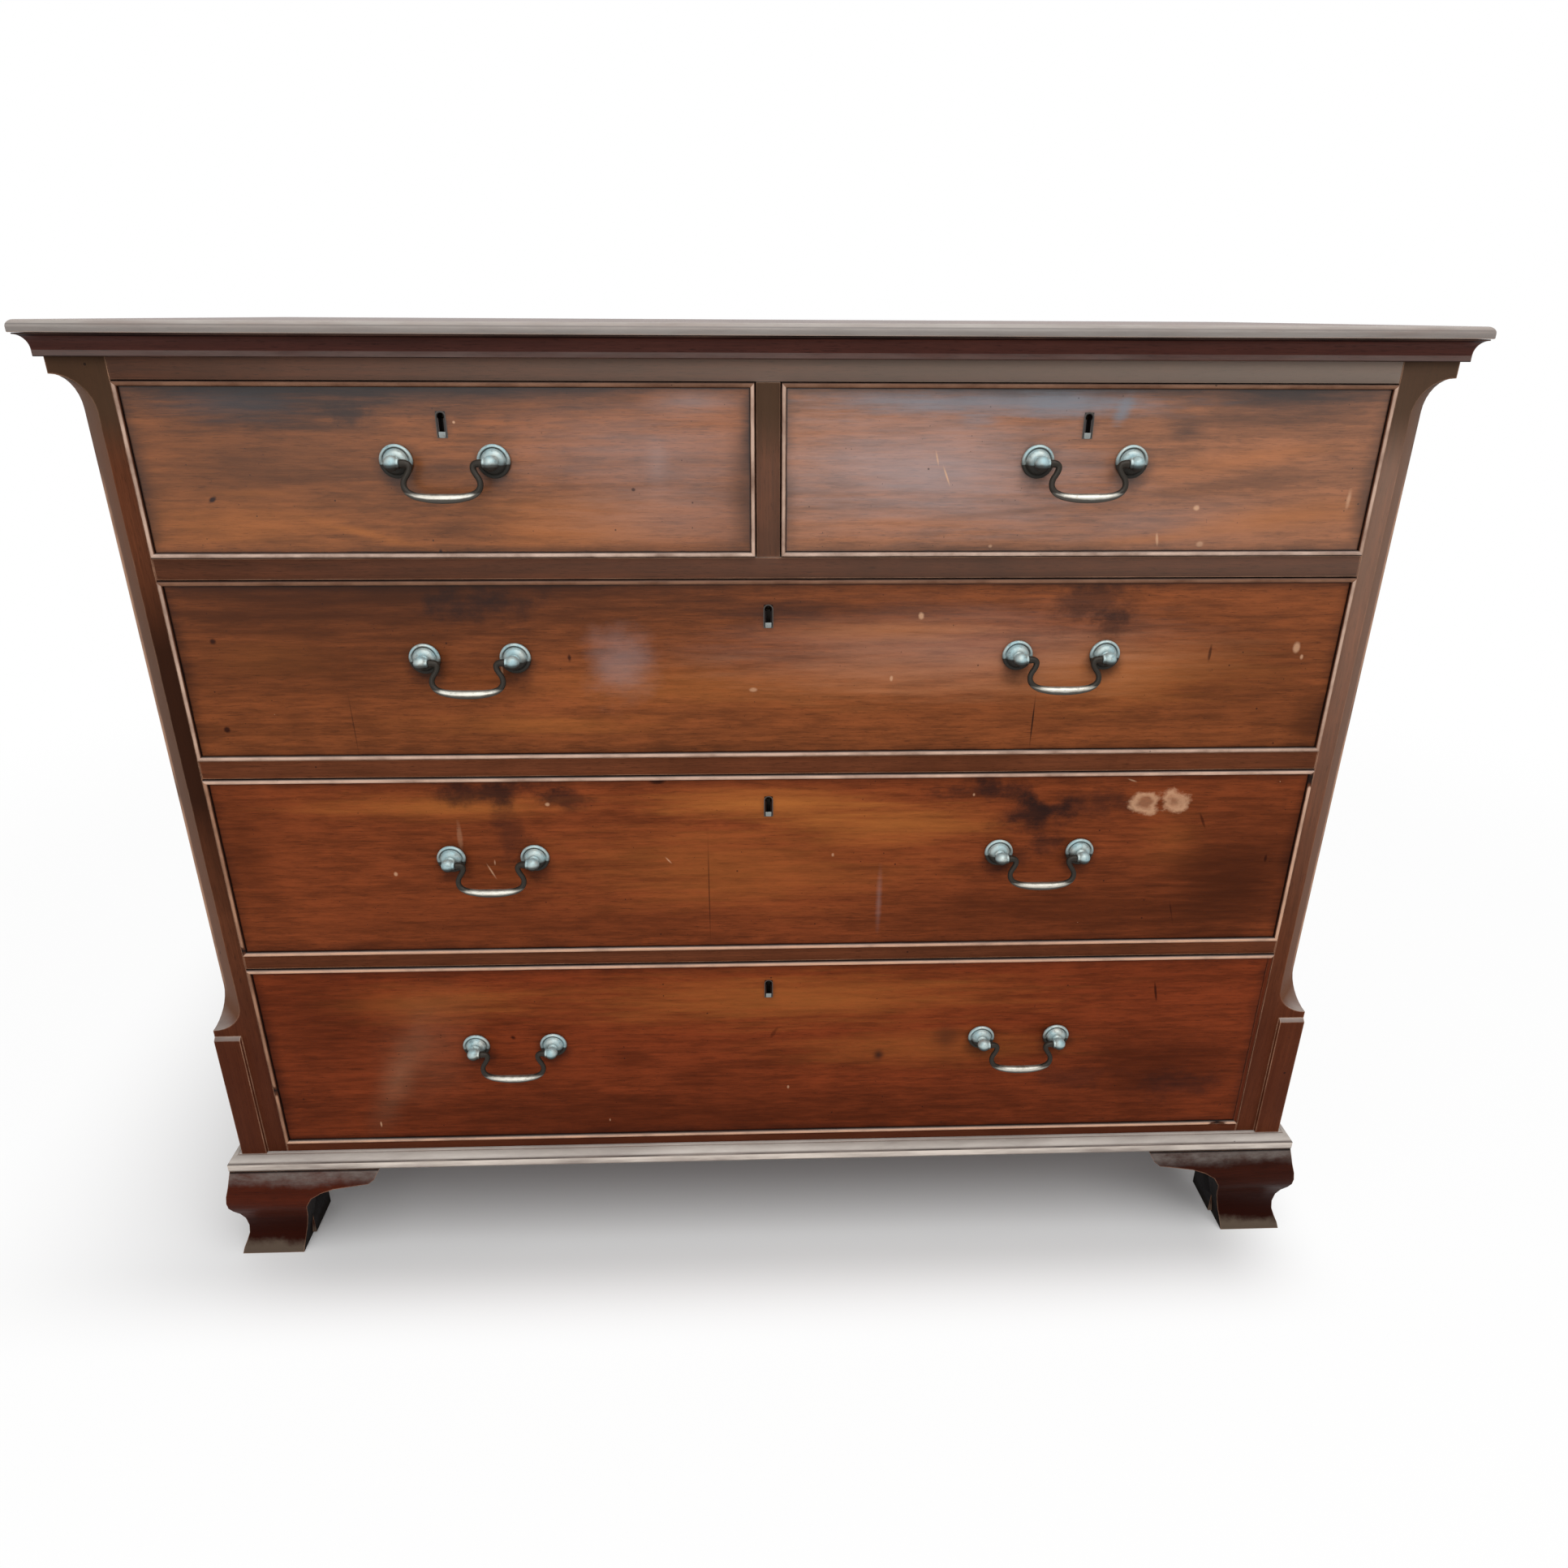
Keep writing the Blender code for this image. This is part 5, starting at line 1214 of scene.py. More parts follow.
def grown(shares, size):
    """Points that are given as shares of a size."""
    return [(across * size, up * size) for across, up in shares]


# Operators

SENSOR_WIDTH = 36               # in millimetres
NEAREST = 0.01                  # the camera sees nothing nearer
# Name, place, the point that it is aimed at, and size
LAMPS = (
    ("lamp_above", (0.35, FRONT_Y - 1.1, 2.7), (0, FRONT_Y, 0.55), 2.4),
    ("lamp_front", (-0.7, FRONT_Y - 2.9, 1.5), (0, FRONT_Y, 0.40), 2.0),
)
# The floor's size, and how white it is near the chest, up to where, and from where it is all white
FLOOR_SIZE = 60
FLOOR_TONE, FLOOR_NEAR, FLOOR_FAR = 0.93, 1.3, 2.2
# Where the floor's shadow, real and painted, is full and where it ends, to the right, left, front
# and back
SHADOW_EDGES = (
    ("X", HALF_WIDTH - 0.08, HALF_WIDTH + 0.07), ("X", 0.12 - HALF_WIDTH, -HALF_WIDTH - 0.38),
    ("Y", FRONT_Y - 0.030, FRONT_Y - 0.150), ("Y", BACK_Y, BACK_Y + 0.34),
)


class CHEST_OT_stage(Operator):
    """Set the camera, the lamps, the even light and the pale floor"""
    bl_idname = "chest.stage"
    bl_label = "Stage"

    def execute(self, context):
        stage = context.scene.chest_stage
        context.scene.view_settings.view_transform = "Standard"
        turn = (
            Matrix.Rotation(-stage.yaw, 4, "Z") @ Matrix.Rotation(math.pi / 2 - stage.tilt, 4, "X")
            @ Matrix.Rotation(stage.roll, 4, "Z"))
        choose_none()
        bpy.ops.object.camera_add(
            location=(-stage.shift, FRONT_Y - stage.distance, stage.height),
            rotation=turn.to_euler())
        camera = context.object
        camera.name = "camera"
        camera.data.lens = stage.lens
        camera.data.sensor_width = SENSOR_WIDTH
        camera.data.clip_start = NEAREST
        context.scene.camera = camera
        for lamp, power in zip(LAMPS, (stage.lamp, stage.fill)):
            self.lamp(*lamp, power)
        self.world(context, stage)
        self.floor(context)
        return {"FINISHED"}

    def lamp(self, name, place, target, size, power):
        aim = (Vector(target) - Vector(place)).to_track_quat("-Z", "Y").to_euler()
        bpy.ops.object.light_add(type="AREA", location=place, rotation=aim)
        lamp = bpy.context.object
        lamp.name = name
        lamp.data.size = size
        lamp.data.energy = power

    def world(self, context, stage):
        """Even light on the chest, and white where the camera looks."""
        world = context.scene.world or bpy.data.worlds.new("room")
        context.scene.world = world
        world.use_nodes = True
        world.node_tree.nodes.clear()
        graph = Graph(world.node_tree)
        even = graph.node("ShaderNodeBackground", {"Color": WHITE, "Strength": stage.sky})
        white = graph.node("ShaderNodeBackground", {"Color": WHITE, "Strength": 1.0})
        mixed = graph.node(
            "ShaderNodeMixShader", {0: graph.seen(), 1: even.outputs[0], 2: white.outputs[0]})
        graph.node("ShaderNodeOutputWorld", {"Surface": mixed.outputs[0]})

    def floor(self, context):
        """A pale floor that goes white away from the chest's soft shadow, with painted shadow near
        the chest.
        """
        choose_none()
        bpy.ops.mesh.primitive_plane_add(size=FLOOR_SIZE, location=(0, 0, -HAIR))
        floor = name_piece("floor")
        settle(floor)
        material = bpy.data.materials.new("floor")
        material.use_nodes = True
        graph = Graph(material.node_tree)
        place = graph.here()
        away = graph.axes(place)
        shaded = 1.0
        for axis, full, end in SHADOW_EDGES:
            shaded = graph.times(shaded, graph.span(away[axis], full, end, 1.0, 0.0, smooth=True))
        bare = graph.minus(1.0, shaded)
        distance = graph.span(
            graph.vector("LENGTH", place), FLOOR_NEAR, FLOOR_FAR, FLOOR_TONE, 1.0, smooth=True)
        seen = graph.seen()
        pale = context.scene.chest_colours.floor
        shader = material.node_tree.nodes["Principled BSDF"]
        # Painted shadow: near the chest the camera sees the floor a little darker
        painted_shadow_tone = graph.mix(bare, scaled(pale, 0.90), WHITE)
        graph.feed(shader.inputs["Base Color"], graph.mix(seen, pale, painted_shadow_tone))
        shader.inputs["Roughness"].default_value = 0.9
        shader.inputs["Specular IOR Level"].default_value = 0.1
        white = graph.node("ShaderNodeEmission", {"Color": WHITE, "Strength": 1.0})
        far = graph.times(seen, graph.times(bare, distance))
        mixed = graph.node(
            "ShaderNodeMixShader", {0: far, 1: shader.outputs[0], 2: white.outputs[0]})
        graph.feed(material.node_tree.nodes["Material Output"].inputs["Surface"], mixed.outputs[0])
        floor.data.materials.append(material)


class CHEST_OT_finishes(Operator):
    """Make every finish, and dress the fronts, drawer boxes and back"""
    bl_idname = "chest.finishes"
    bl_label = "Finishes"

    def execute(self, context):
        make_finishes(context.scene.chest_colours, context.scene.chest_sizes.bead_width)
        for drawer in DRAWERS:
            dress(drawer + "_front", "front_" + drawer)
            dress(drawer + "_box", "oak_side")
        dress("back_panel", "pine")
        return {"FINISHED"}


TOP_ROUND_SHARE = 0.57          # the round of the top's edge, as a share of its thickness


class CHEST_OT_top(Operator):
    """Model the top board with its moulded edge"""
    bl_idname = "chest.top"
    bl_label = "Top board"

    def execute(self, context):
        board = start_box("top", TOP_LOW, TOP_HIGH)

        def upper(edge):
            place = middle(edge)
            return abs(place.z - TOP_HIGH.z) < HAIR and place.y < TOP_HIGH.y - HAIR

        round_edges(board, upper, (TOP_HIGH.z - TOP_LOW.z) * TOP_ROUND_SHARE, 7)
        ease(board, context.scene.chest_sizes.ease, 40)
        finish(board, "top", "carcass", "top_mahogany", "top_board")
        return {"FINISHED"}


def run_moulding(name, profile):
    """Three mitred runs of a profile: out from the carcass, and height."""
    reach = max(out for out, height in profile)
    half = HALF_WIDTH + reach
    front = draw_outline(name, [(-half, FRONT_Y - out, height) for out, height in profile])
    draw_out(front, (half * 2, 0, 0))
    for hand in (-1, 1):
        saw(front, (hand * HALF_WIDTH, FRONT_Y, 0), (hand, 1, 0))
    runs = [front]
    start = FRONT_Y - reach
    for hand in (-1, 1):
        side = draw_outline(
            name + "_side", [(hand * (HALF_WIDTH + out), start, height) for out, height in profile])
        draw_out(side, (0, BACK_Y - start, 0))
        saw(side, (hand * HALF_WIDTH, FRONT_Y, 0), (-hand, -1, 0))
        runs.append(side)
    return join(runs)


# The mouldings' members, as shares of how far each moulding stands out
UNDER_FILLET, UNDER_LIP = 0.41, 0.082
BASE_QUIRK, BASE_LEDGE, BASE_STEP = 0.095, 0.285, 0.065
MOULDING_EASE = 0.0003


class CHEST_OT_mouldings(Operator):
    """Model the moulding under the top and the moulding over the feet"""
    bl_idname = "chest.mouldings"
    bl_label = "Mouldings"

    def execute(self, context):
        for name, profile, look, node in (
                ("under_moulding", self.cavetto(), "under_moulding", "top_moulding"),
                ("base_moulding_runs", self.ovolo(), "base_moulding", "base_moulding")):
            runs = run_moulding(name, profile)
            ease(runs, MOULDING_EASE)
            finish(runs, look, "carcass", "moulding_mahogany", node)
        return {"FINISHED"}

    def cavetto(self):
        """Fillet, hollow and lip."""
        base, top = UNDER_LOW.z, UNDER_HIGH.z
        reach = FRONT_Y - UNDER_LOW.y
        fillet, lip = reach * UNDER_FILLET, reach * UNDER_LIP
        radii = (reach - fillet, top - lip - base - fillet)
        hollow = profile_arc((reach, base + fillet), radii, 180, 90, 10)
        return [(HAIR, base), (fillet, base), *hollow, (reach, top), (HAIR, top)]

    def ovolo(self):
        """Fillet, quirk, quarter round, step and ledge."""
        base, top = BASE_LOW.z, BASE_HIGH.z
        reach = FRONT_Y - BASE_LOW.y
        quirk, ledge, step = reach * BASE_QUIRK, reach * BASE_LEDGE, reach * BASE_STEP
        start = ledge + step
        radii = (reach - quirk - start, top - step - BASE_FILLET)
        rounded = profile_arc((start, BASE_FILLET), radii, 0, 90, 10)
        return [
            (HAIR, base), (reach, base), (reach, BASE_FILLET), *rounded,
            (start, top - step * 2), (ledge, top - step * 2), (ledge, top), (HAIR, top)]


CARCASS_LOOKS = {
    "side_left": "post_left", "side_right": "post_right", "muntin": "muntin",
    "frieze_rail": "frieze", "divider_upper": "rail", "divider_middle": "rail_low",
    "divider_lower": "rail_low", "bottom_board": "rail_low",
}


class CHEST_OT_carcass(Operator):
    """Ease the arrises of the posts, sides, rails and boards"""
    bl_idname = "chest.carcass"
    bl_label = "Carcass"

    def execute(self, context):
        width = context.scene.chest_sizes.ease
        for node, look in CARCASS_LOOKS.items():
            piece = eased_copy(node + "_eased", node, width)
            finish(piece, look, "carcass", "carcass_mahogany", node)
        return {"FINISHED"}


class CHEST_OT_feet(Operator):
    """Round and scuff the bracket feet"""
    bl_idname = "chest.feet"
    bl_label = "Feet"

    def execute(self, context):
        width = context.scene.chest_sizes.foot_ease
        for end in ("front", "back"):
            for hand in HANDS:
                node = f"foot_{end}_{hand}"
                foot = eased_copy(node + "_eased", node, width, 35)
                finish(foot, "foot_" + hand, "carcass", "foot_mahogany", node)
        return {"FINISHED"}


# The finish of each strip of a bead, on the upper drawers and on the two low ones; the finishes
# are lighter and darker copies of one mahogany, as painted light
LOW_DRAWERS = ("middle", "lower")
BEAD_LOOKS = {
    "bottom": "bead_level", "top": "bead_top", "left": "bead_upright", "right": "bead_upright"}
LOW_BEAD_LOOKS = {**BEAD_LOOKS, "top": "bead_level", "left": "bead_low"}
# Where a bead is chipped: drawer, side, place along it as a share, and length as a share
BEAD_CHIP_SHARES = (
    ("lower", "left", 0.33, 0.035), ("lower", "bottom", 0.975, 0.012),
    ("upper", "right", 0.62, 0.012), ("top_right", "bottom", 0.40, 0.006),
    ("middle", "left", 0.04, 0.03), ("middle", "right", 0.96, 0.05),
)
LOST_BEADS = (("lower", "right"),)
CHIP_LEFT, LOST_LEFT = 0.30, 0.12   # how much of a bead still stands where it is chipped or lost
CUTS_ACROSS, CUTS_UP = 90, 30       # cuts along a level and along an upright strip


class CHEST_OT_beads(Operator):
    """Model the cockbeads round the fronts, chipped and wavering as the old ones are"""
    bl_idname = "chest.beads"
    bl_label = "Cockbeads"

    def execute(self, context):
        sizes = context.scene.chest_sizes
        for number, drawer in enumerate(DRAWERS):
            low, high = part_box(drawer + "_cockbead")
            strips = [
                self.strip(drawer, side, low, high, sizes, number * len(BEAD_LOOKS) + order)
                for order, side in enumerate(BEAD_LOOKS)]
            bead = join(strips)
            bead.name = drawer + "_beads"
            finish(bead, None, "drawer_" + drawer, "bead_mahogany", drawer + "_cockbead")
        return {"FINISHED"}

    def strip(self, drawer, side, low, high, sizes, seed):
        """One strip, mitred at both ends."""
        axis = 0 if side in ("bottom", "top") else 2
        across = 2 - axis
        first = side in ("bottom", "left")
        box_low, box_high = low.copy(), high.copy()
        if first:
            box_high[across] = low[across] + sizes.bead_width
        else:
            box_low[across] = high[across] - sizes.bead_width
        piece = start_box(drawer + "_bead_" + side, box_low, box_high)

        def nose(edge):
            return abs(middle(edge).y - low.y) < HAIR and runs_along(edge, axis)

        def proud(vert):
            return vert.co.y < FRONT_Y - HAIR

        round_edges(piece, nose, sizes.bead_nose, 4)
        edit(piece, "EDGE")
        choose("edges", lambda edge: runs_along(edge, axis))
        bpy.ops.mesh.subdivide(number_cuts=CUTS_ACROSS if axis == 0 else CUTS_UP)
        bpy.ops.mesh.select_mode(type="VERT")
        choose("verts", proud)
        bpy.ops.transform.vertex_random(offset=sizes.bead_wander, seed=seed)
        for chipped, place_side, share, length in BEAD_CHIP_SHARES:
            if (chipped, place_side) == (drawer, side):
                place = low[axis] + share * (high[axis] - low[axis])
                half = length * (high[axis] - low[axis]) / 2
                choose("verts", lambda vert: proud(vert) and abs(vert.co[axis] - place) < half)
                flatten(CHIP_LEFT)
        leave()
        edge = (low if first else high)[across]
        for end, out in ((low[axis], -1), (high[axis], 1)):
            place, outward = [0, 0, 0], [0, 0, 0]
            place[axis], place[across] = end, edge
            outward[axis], outward[across] = out, 1 if first else -1
            saw(piece, place, outward)
        look = (LOW_BEAD_LOOKS if drawer in LOW_DRAWERS else BEAD_LOOKS)[side]
        if (drawer, side) in LOST_BEADS:
            look = "bead_lost"
            edit(piece)
            choose("verts", proud)
            flatten(LOST_LEFT)
            leave()
        piece.data.materials.append(FINISHES[look])
        smooth(piece, 50)
        return piece


# Radius of a post's round head, as a share of its rose's, the angles that the head covers, and in
# how many steps
HEAD_SHARE = 0.4545
HEAD_ARC = (90, -48, 12)
# A post from its neck to its rose's rim: radius and height, as shares of the rose's radius
ROSE_SHARES = (
    (0.245, 0.72), (0.25, 0.66), (0.31, 0.60), *profile_arc((0.33, 0.22), (0.40, 0.34), 88, 12, 8),
    (0.76, 0.22), *profile_arc((0.86, 0.14), (0.14, 0.13), 140, -60, 8),
)
# The rose's back edge and the shank, and the square nut's half width and thickness, likewise
RIM_SHARE, SHANK_SHARE, NUT_SHARE, NUT_THICK_SHARE = 0.93, 0.20, 0.40, 0.30
NUT_EASE_SHARE = 0.12           # of the nut's half width
# Where a rose, upwards, and a bail, downwards, leaves its painted shade and is rubbed, and within
# how much it is full
ROSE_LIT_FROM, ROSE_LIT_WITHIN = -0.30, 0.34
BAIL_LIT_FROM, BAIL_LIT_WITHIN = 0.64, 0.24
# The collar of a bail's pin: radius and distance along the pin, as shares of the head's radius
COLLAR_SHARES = (
    (0, 0.60), (0.66, 0.60), (0.72, 0.86), (0.66, 1.00), (0.56, 1.04), (0.38, 1.04), (0.38, 0.94),
    (0, 0.94),
)
# Half of a bail from the pin to the middle of the grip: across as a share of half its length,
# down as a share of its drop, and thickness as a share of the grip's
BAIL_SHARES = (
    (1.000, 0.000, 0.43), (0.915, 0.000, 0.43), (0.896, 0.000, 0.50), (0.884, 0.000, 0.80),
    (0.870, 0.000, 0.86), (0.757, 0.010, 0.76), (0.703, 0.055, 0.69), (0.692, 0.150, 0.65),
    (0.740, 0.300, 0.62), (0.806, 0.440, 0.61), (0.833, 0.600, 0.62), (0.790, 0.760, 0.66),
    (0.660, 0.890, 0.74), (0.420, 0.970, 0.86), (0.200, 0.995, 0.97), (0.000, 1.000, 1.00),
)


class CHEST_OT_handles(Operator):
    """Model the roses, posts and nuts, and the swan-neck bails"""
    bl_idname = "chest.handles"
    bl_label = "Handles"

    def execute(self, context):
        steps = context.scene.chest_sizes.turning_steps
        first = DRAWERS["top_left"][0]
        posts = {hand: self.post(first, hand, steps) for hand in HANDS}
        bail = self.bail(first, context.scene.chest_sizes.bail_grip)
        start = self.centre(first)
        for drawer, handles in DRAWERS.items():
            for handle in handles:
                shift = self.centre(handle) - start
                for hand, master in posts.items():
                    piece = copy_of(master, f"{handle}_rose_{hand}", shift)
                    node = f"{handle}_post_{hand}"
                    finish(piece, "rose_brass", "drawer_" + drawer, "aged_brass", node)
                piece = copy_of(bail, handle + "_swan_neck", shift)
                finish(piece, "bail_brass", "bail_" + handle, "aged_brass", handle + "_bail")
        for master in (*posts.values(), bail):
            bpy.data.objects.remove(master, do_unlink=True)
        return {"FINISHED"}

    def centre(self, handle):
        """The middle between a handle's posts, on the face of the front."""
        left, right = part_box(handle + "_post_left"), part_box(handle + "_post_right")
        return Vector(((left[0].x + right[1].x) / 2, FRONT_Y, (left[0].z + left[1].z) / 2))

    def post(self, handle, hand, steps):
        """Rose, neck, head, shank and nut, turned about the post's own axis."""
        low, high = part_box(f"{handle}_post_{hand}")
        x, z = (low.x + high.x) / 2, (low.z + high.z) / 2
        rose = (high.x - low.x) / 2
        out, back = FRONT_Y - low.y, high.y - FRONT_Y
        head, shank, seat = rose * HEAD_SHARE, rose * SHANK_SHARE, HAIR * 3
        profile = [
            *profile_arc((0, out - head), (head, head), *HEAD_ARC), *grown(ROSE_SHARES, rose),
            (rose * RIM_SHARE, seat), (shank, seat), (shank, -back), (0, -back)]
        post = turning("post_" + hand, (x, FRONT_Y, z), (0, -1, 0), profile, steps)
        half, thick = rose * NUT_SHARE, rose * NUT_THICK_SHARE
        nut = start_box(
            "nut", (x - half, high.y - thick - HAIR, z - half), (x + half, high.y - HAIR, z + half))
        ease(nut, half * NUT_EASE_SHARE, 40)
        inward = 1 if hand == "left" else -1
        collar = turning(
            "collar", (x, FRONT_Y - out + head, z), (inward, 0, 0), grown(COLLAR_SHARES, head),
            steps // 2)
        piece = join([post, nut, collar])
        store_rubbed_and_lit(
            piece, lambda place: ((place.z - z) / rose - ROSE_LIT_FROM) / ROSE_LIT_WITHIN)
        return piece

    def bail(self, handle, grip):
        """The bail as a curve whose thickness swells towards the grip, then made a mesh."""
        low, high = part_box(handle + "_bail")
        post_low, post_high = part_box(handle + "_post_left")
        centre = self.centre(handle)
        reach = (high.x - low.x) / 2
        drop = centre.z - low.z
        axis_y = post_low.y + (post_high.x - post_low.x) / 2 * HEAD_SHARE
        bow = axis_y - low.y
        halves = [(-across, down, thick) for across, down, thick in BAIL_SHARES]
        halves += reversed(BAIL_SHARES[:-1])
        choose_none()
        bpy.ops.curve.primitive_nurbs_path_add(location=(0, 0, 0))
        curve = name_piece("bail").data
        curve.dimensions = "3D"
        curve.splines.clear()
        spline = curve.splines.new("BEZIER")
        spline.bezier_points.add(len(halves) - 1)
        for point, (across, down, thick) in zip(spline.bezier_points, halves):
            point.co = (
                centre.x + across * reach, axis_y - down * (bow - grip),
                centre.z - down * (drop - grip))
            point.handle_left_type = "AUTO"
            point.handle_right_type = "AUTO"
            point.radius = thick
        curve.resolution_u = 5
        curve.bevel_depth = grip
        curve.bevel_resolution = 6
        curve.use_fill_caps = True
        only(bpy.context.object)
        bpy.ops.object.convert(target="MESH")
        piece = bpy.context.object
        settle(piece)
        edit(piece)
        weld()
        face_outwards()
        leave()
        store_rubbed_and_lit(
            piece, lambda place: ((centre.z - place.z) / drop - BAIL_LIT_FROM) / BAIL_LIT_WITHIN)
        smooth(piece, 50)
        return piece


# How proud the sill is and the round of its upper edge, as shares of the ring's depth, and the
# round of its corners, as a share of its half width
SILL_PROUD_SHARE, SILL_ROUND_SHARE, SILL_CORNER_SHARE = 1.5, 0.8, 0.45


class CHEST_OT_threads(Operator):
    """Line the keyholes with thin brass"""
    bl_idname = "chest.threads"
    bl_label = "Keyhole linings"

    def execute(self, context):
        sizes = context.scene.chest_sizes
        wall, depth = sizes.thread_wall, sizes.thread_depth
        for drawer in DRAWERS:
            low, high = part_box(drawer + "_front")
            across, height = (low.x + high.x) / 2, high.z - KEY_DROP
            outer = self.keyhole(across, height, RING_HALF, RING_DROP)
            inner = self.keyhole(across, height, RING_HALF - wall, RING_DROP - wall)
            lining = self.lining(drawer + "_keyhole_lining", outer, inner, depth)
            lining.data.materials.append(FINISHES["thread_brass"])
            sill = self.sill(across, height - RING_DROP, depth)
            sill.data.materials.append(FINISHES["sill_brass"])
            finish(join([lining, sill]), None, "drawer_" + drawer, "aged_brass")
        return {"FINISHED"}

    def keyhole(self, across, height, half, drop):
        """A slot with a round top."""
        points = [(across - half, height - drop), (across + half, height - drop)]
        return points + profile_arc((across, height), (half, half), 0, 180, 16)

    def sill(self, across, foot, depth):
        """The pale foot of the ring, with a rounded top: a painted highlight for the keyhole's lit
        floor.
        """
        top = foot + SILL_HEIGHT
        sill = start_box(
            "sill", (across - SILL_HALF, FRONT_Y - depth * SILL_PROUD_SHARE, foot + HAIR),
            (across + SILL_HALF, FRONT_Y - HAIR, top))

        def upper(edge):
            return middle(edge).z > top - HAIR and runs_along(edge, 0)

        round_edges(sill, upper, depth * SILL_ROUND_SHARE, 3)
        round_edges(sill, lambda edge: runs_along(edge, 1), SILL_HALF * SILL_CORNER_SHARE, 4)
        smooth(sill)
        return sill

    def lining(self, name, outer, inner, depth):
        """A tube between two outlines: both drawn, bridged and drawn back."""
        face = FRONT_Y - depth - HAIR
        ring = draw_outline(name, [(x, face, z) for x, z in outer])
        core = draw_outline(name + "_core", [(x, face, z) for x, z in inner])
        piece = join([ring, core])
        edit(piece, "FACE")
        take_all()
        bpy.ops.mesh.delete(type="ONLY_FACE")
        bpy.ops.mesh.select_mode(type="EDGE")
        take_all()
        bpy.ops.mesh.bridge_edge_loops()
        take_all()
        bpy.ops.mesh.extrude_region_move(TRANSFORM_OT_translate={"value": (0, depth, 0)})
        face_outwards()
        leave()
        smooth(piece)
        return piece


# A lock screw's and a nail's head: radius and height over what it holds, as shares of its radius
SCREW_SHARES = ((0, 0.35), (0.45, 0.31), (0.8, 0.18), (1.0, 0.02), (0.95, -0.1), (0, -0.1))
NAIL_SHARES = ((0, 0.22), (0.6, 0.18), (0.95, 0.05), (1.0, -0.1), (0, -0.1))
# A screw's slot: half its length, the height of its floor and half its width, likewise
SLOT_LONG, SLOT_FLOOR, SLOT_WIDE = 1.1, 0.1, 0.12
# How far the screws stand from their plate's ends, foot and top, likewise
SCREW_END, SCREW_FOOT, SCREW_TOP = 3.2, 2.0, 3.6
LOCK_EASE_SHARE = 0.5           # the rounding of a lock's arrises, as a share of the carcass's


class CHEST_OT_locks(Operator):
    """Model the locks on the backs of the fronts"""
    bl_idname = "chest.locks"
    bl_label = "Locks"

    def execute(self, context):
        sizes = context.scene.chest_sizes
        radius = sizes.screw_radius
        for drawer in DRAWERS:
            node = drawer + "_lock"
            low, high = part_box(node)
            lock = eased_copy(node + "_eased", node, sizes.ease * LOCK_EASE_SHARE, 40)
            screws = [
                self.screw((x, high.y, z), radius)
                for x in (low.x + radius * SCREW_END, high.x - radius * SCREW_END)
                for z in (low.z + radius * SCREW_FOOT, high.z - radius * SCREW_TOP)]
            piece = join([lock, *screws])
            finish(piece, "lock_brass", "drawer_" + drawer, "lock_brass", node)
        return {"FINISHED"}

    def screw(self, place, radius):
        """A domed screw head with a slot, standing proud of the plate."""
        x, y, z = place
        head = turning("screw", place, (0, 1, 0), grown(SCREW_SHARES, radius), 16)
        slot = start_box(
            "slot", (x - radius * SLOT_LONG, y + radius * SLOT_FLOOR, z - radius * SLOT_WIDE),
            (x + radius * SLOT_LONG, y + radius, z + radius * SLOT_WIDE))
        only(head)
        bpy.ops.object.modifier_add(type="BOOLEAN")
        cut = head.modifiers[-1]
        cut.operation = "DIFFERENCE"
        cut.object = slot
        bpy.ops.object.modifier_apply(modifier=cut.name)
        bpy.data.objects.remove(slot, do_unlink=True)
        smooth(head)
        return head


# The nails in the back: the boards, how far in the outer nails stand, their places in a board,
# and how high the first of them is modelled
BACK_BOARDS = 4
NAIL_INSET = 0.010
NAIL_PLACE_SHARES = (0.15, 0.5, 0.85)
NAIL_START = 0.025


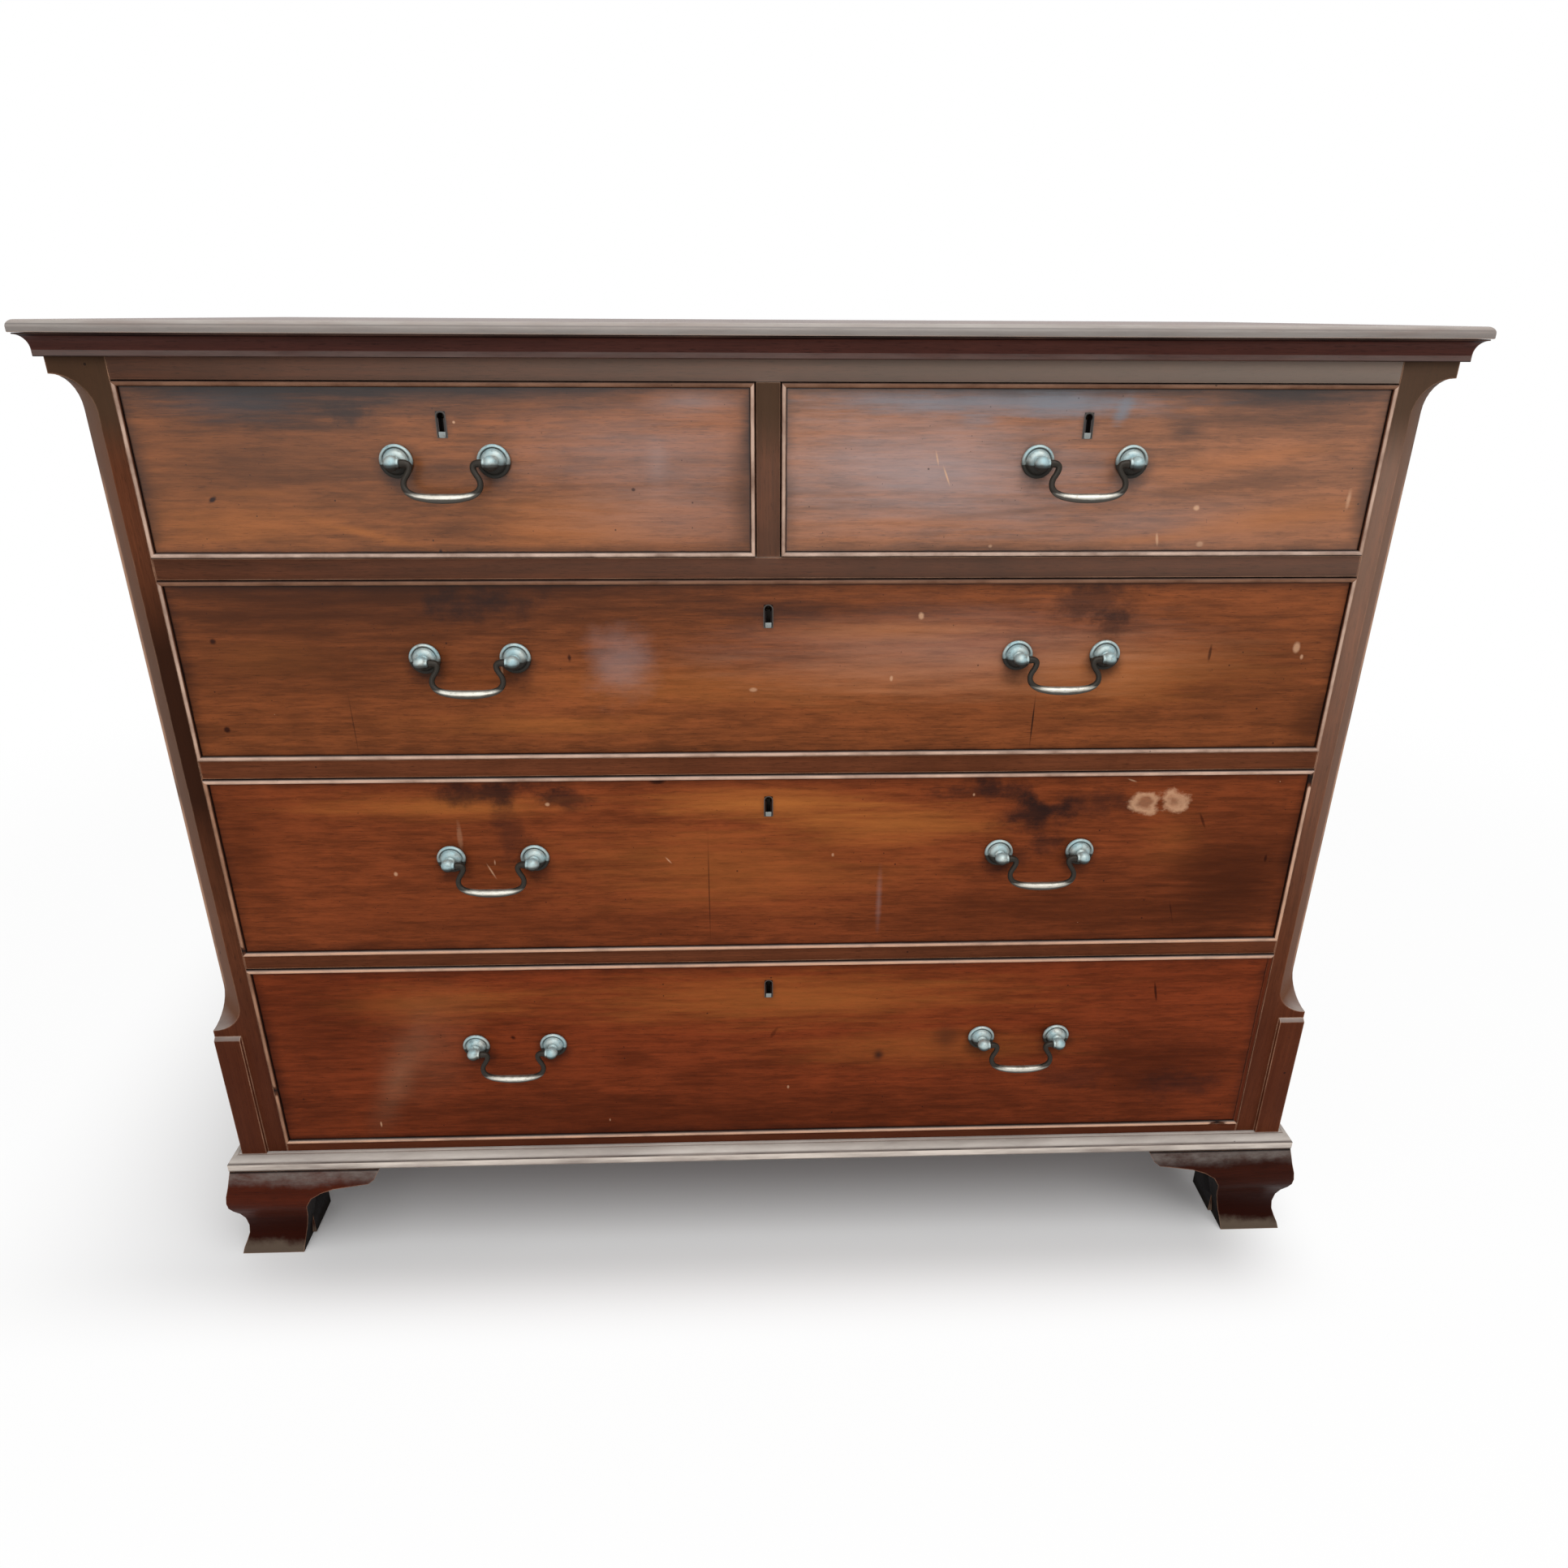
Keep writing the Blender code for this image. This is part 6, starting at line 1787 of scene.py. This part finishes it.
class CHEST_OT_nails(Operator):
    """Set the nails in the back boards"""
    bl_idname = "chest.nails"
    bl_label = "Back nails"

    def execute(self, context):
        low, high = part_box("back_panel")
        place = (low.x + NAIL_INSET, high.y, low.z + NAIL_START)
        profile = grown(NAIL_SHARES, context.scene.chest_sizes.nail_radius)
        first = turning("nail", place, (0, 1, 0), profile, 12)
        board = (high.z - low.z) / BACK_BOARDS
        nails = [
            copy_of(first, "back_nail", (x - low.x - NAIL_INSET, 0, height - NAIL_START))
            for x in (low.x + NAIL_INSET, (low.x + high.x) / 2, high.x - NAIL_INSET)
            for height in (
                (number + share) * board
                for number in range(BACK_BOARDS) for share in NAIL_PLACE_SHARES)]
        bpy.data.objects.remove(first, do_unlink=True)
        piece = join(nails)
        piece.name = "back_nails"
        finish(piece, "iron", "carcass", "pine")
        return {"FINISHED"}


class CHEST_PT_panel(Panel):
    """Lists the chest's operators and values"""
    bl_idname = "CHEST_PT_panel"
    bl_label = "Chest of Drawers"
    bl_space_type = "VIEW_3D"
    bl_region_type = "UI"
    bl_category = "Chest"

    def draw(self, context):
        layout = self.layout
        for operator in OPERATORS:
            layout.operator(operator.bl_idname)
        scene = context.scene
        for values in (scene.chest_colours, scene.chest_sizes, scene.chest_stage):
            box = layout.box()
            for name in values.__annotations__:
                box.prop(values, name)


OPERATORS = (
    CHEST_OT_stage, CHEST_OT_finishes, CHEST_OT_top, CHEST_OT_mouldings, CHEST_OT_carcass,
    CHEST_OT_feet, CHEST_OT_beads, CHEST_OT_handles, CHEST_OT_threads, CHEST_OT_locks,
    CHEST_OT_nails,
)
CLASSES = (CHEST_PG_colours, CHEST_PG_sizes, CHEST_PG_stage, *OPERATORS, CHEST_PT_panel)


def register():
    for item in CLASSES:
        bpy.utils.register_class(item)
    bpy.types.Scene.chest_colours = PointerProperty(type=CHEST_PG_colours)
    bpy.types.Scene.chest_sizes = PointerProperty(type=CHEST_PG_sizes)
    bpy.types.Scene.chest_stage = PointerProperty(type=CHEST_PG_stage)


def unregister():
    del bpy.types.Scene.chest_stage
    del bpy.types.Scene.chest_sizes
    del bpy.types.Scene.chest_colours
    for item in reversed(CLASSES):
        bpy.utils.unregister_class(item)


def main():
    """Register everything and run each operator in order."""
    register()
    bpy.ops.chest.stage()
    bpy.ops.chest.finishes()
    bpy.ops.chest.top()
    bpy.ops.chest.mouldings()
    bpy.ops.chest.carcass()
    bpy.ops.chest.feet()
    bpy.ops.chest.beads()
    bpy.ops.chest.handles()
    bpy.ops.chest.threads()
    bpy.ops.chest.locks()
    bpy.ops.chest.nails()


if __name__ == "__main__":
    main()
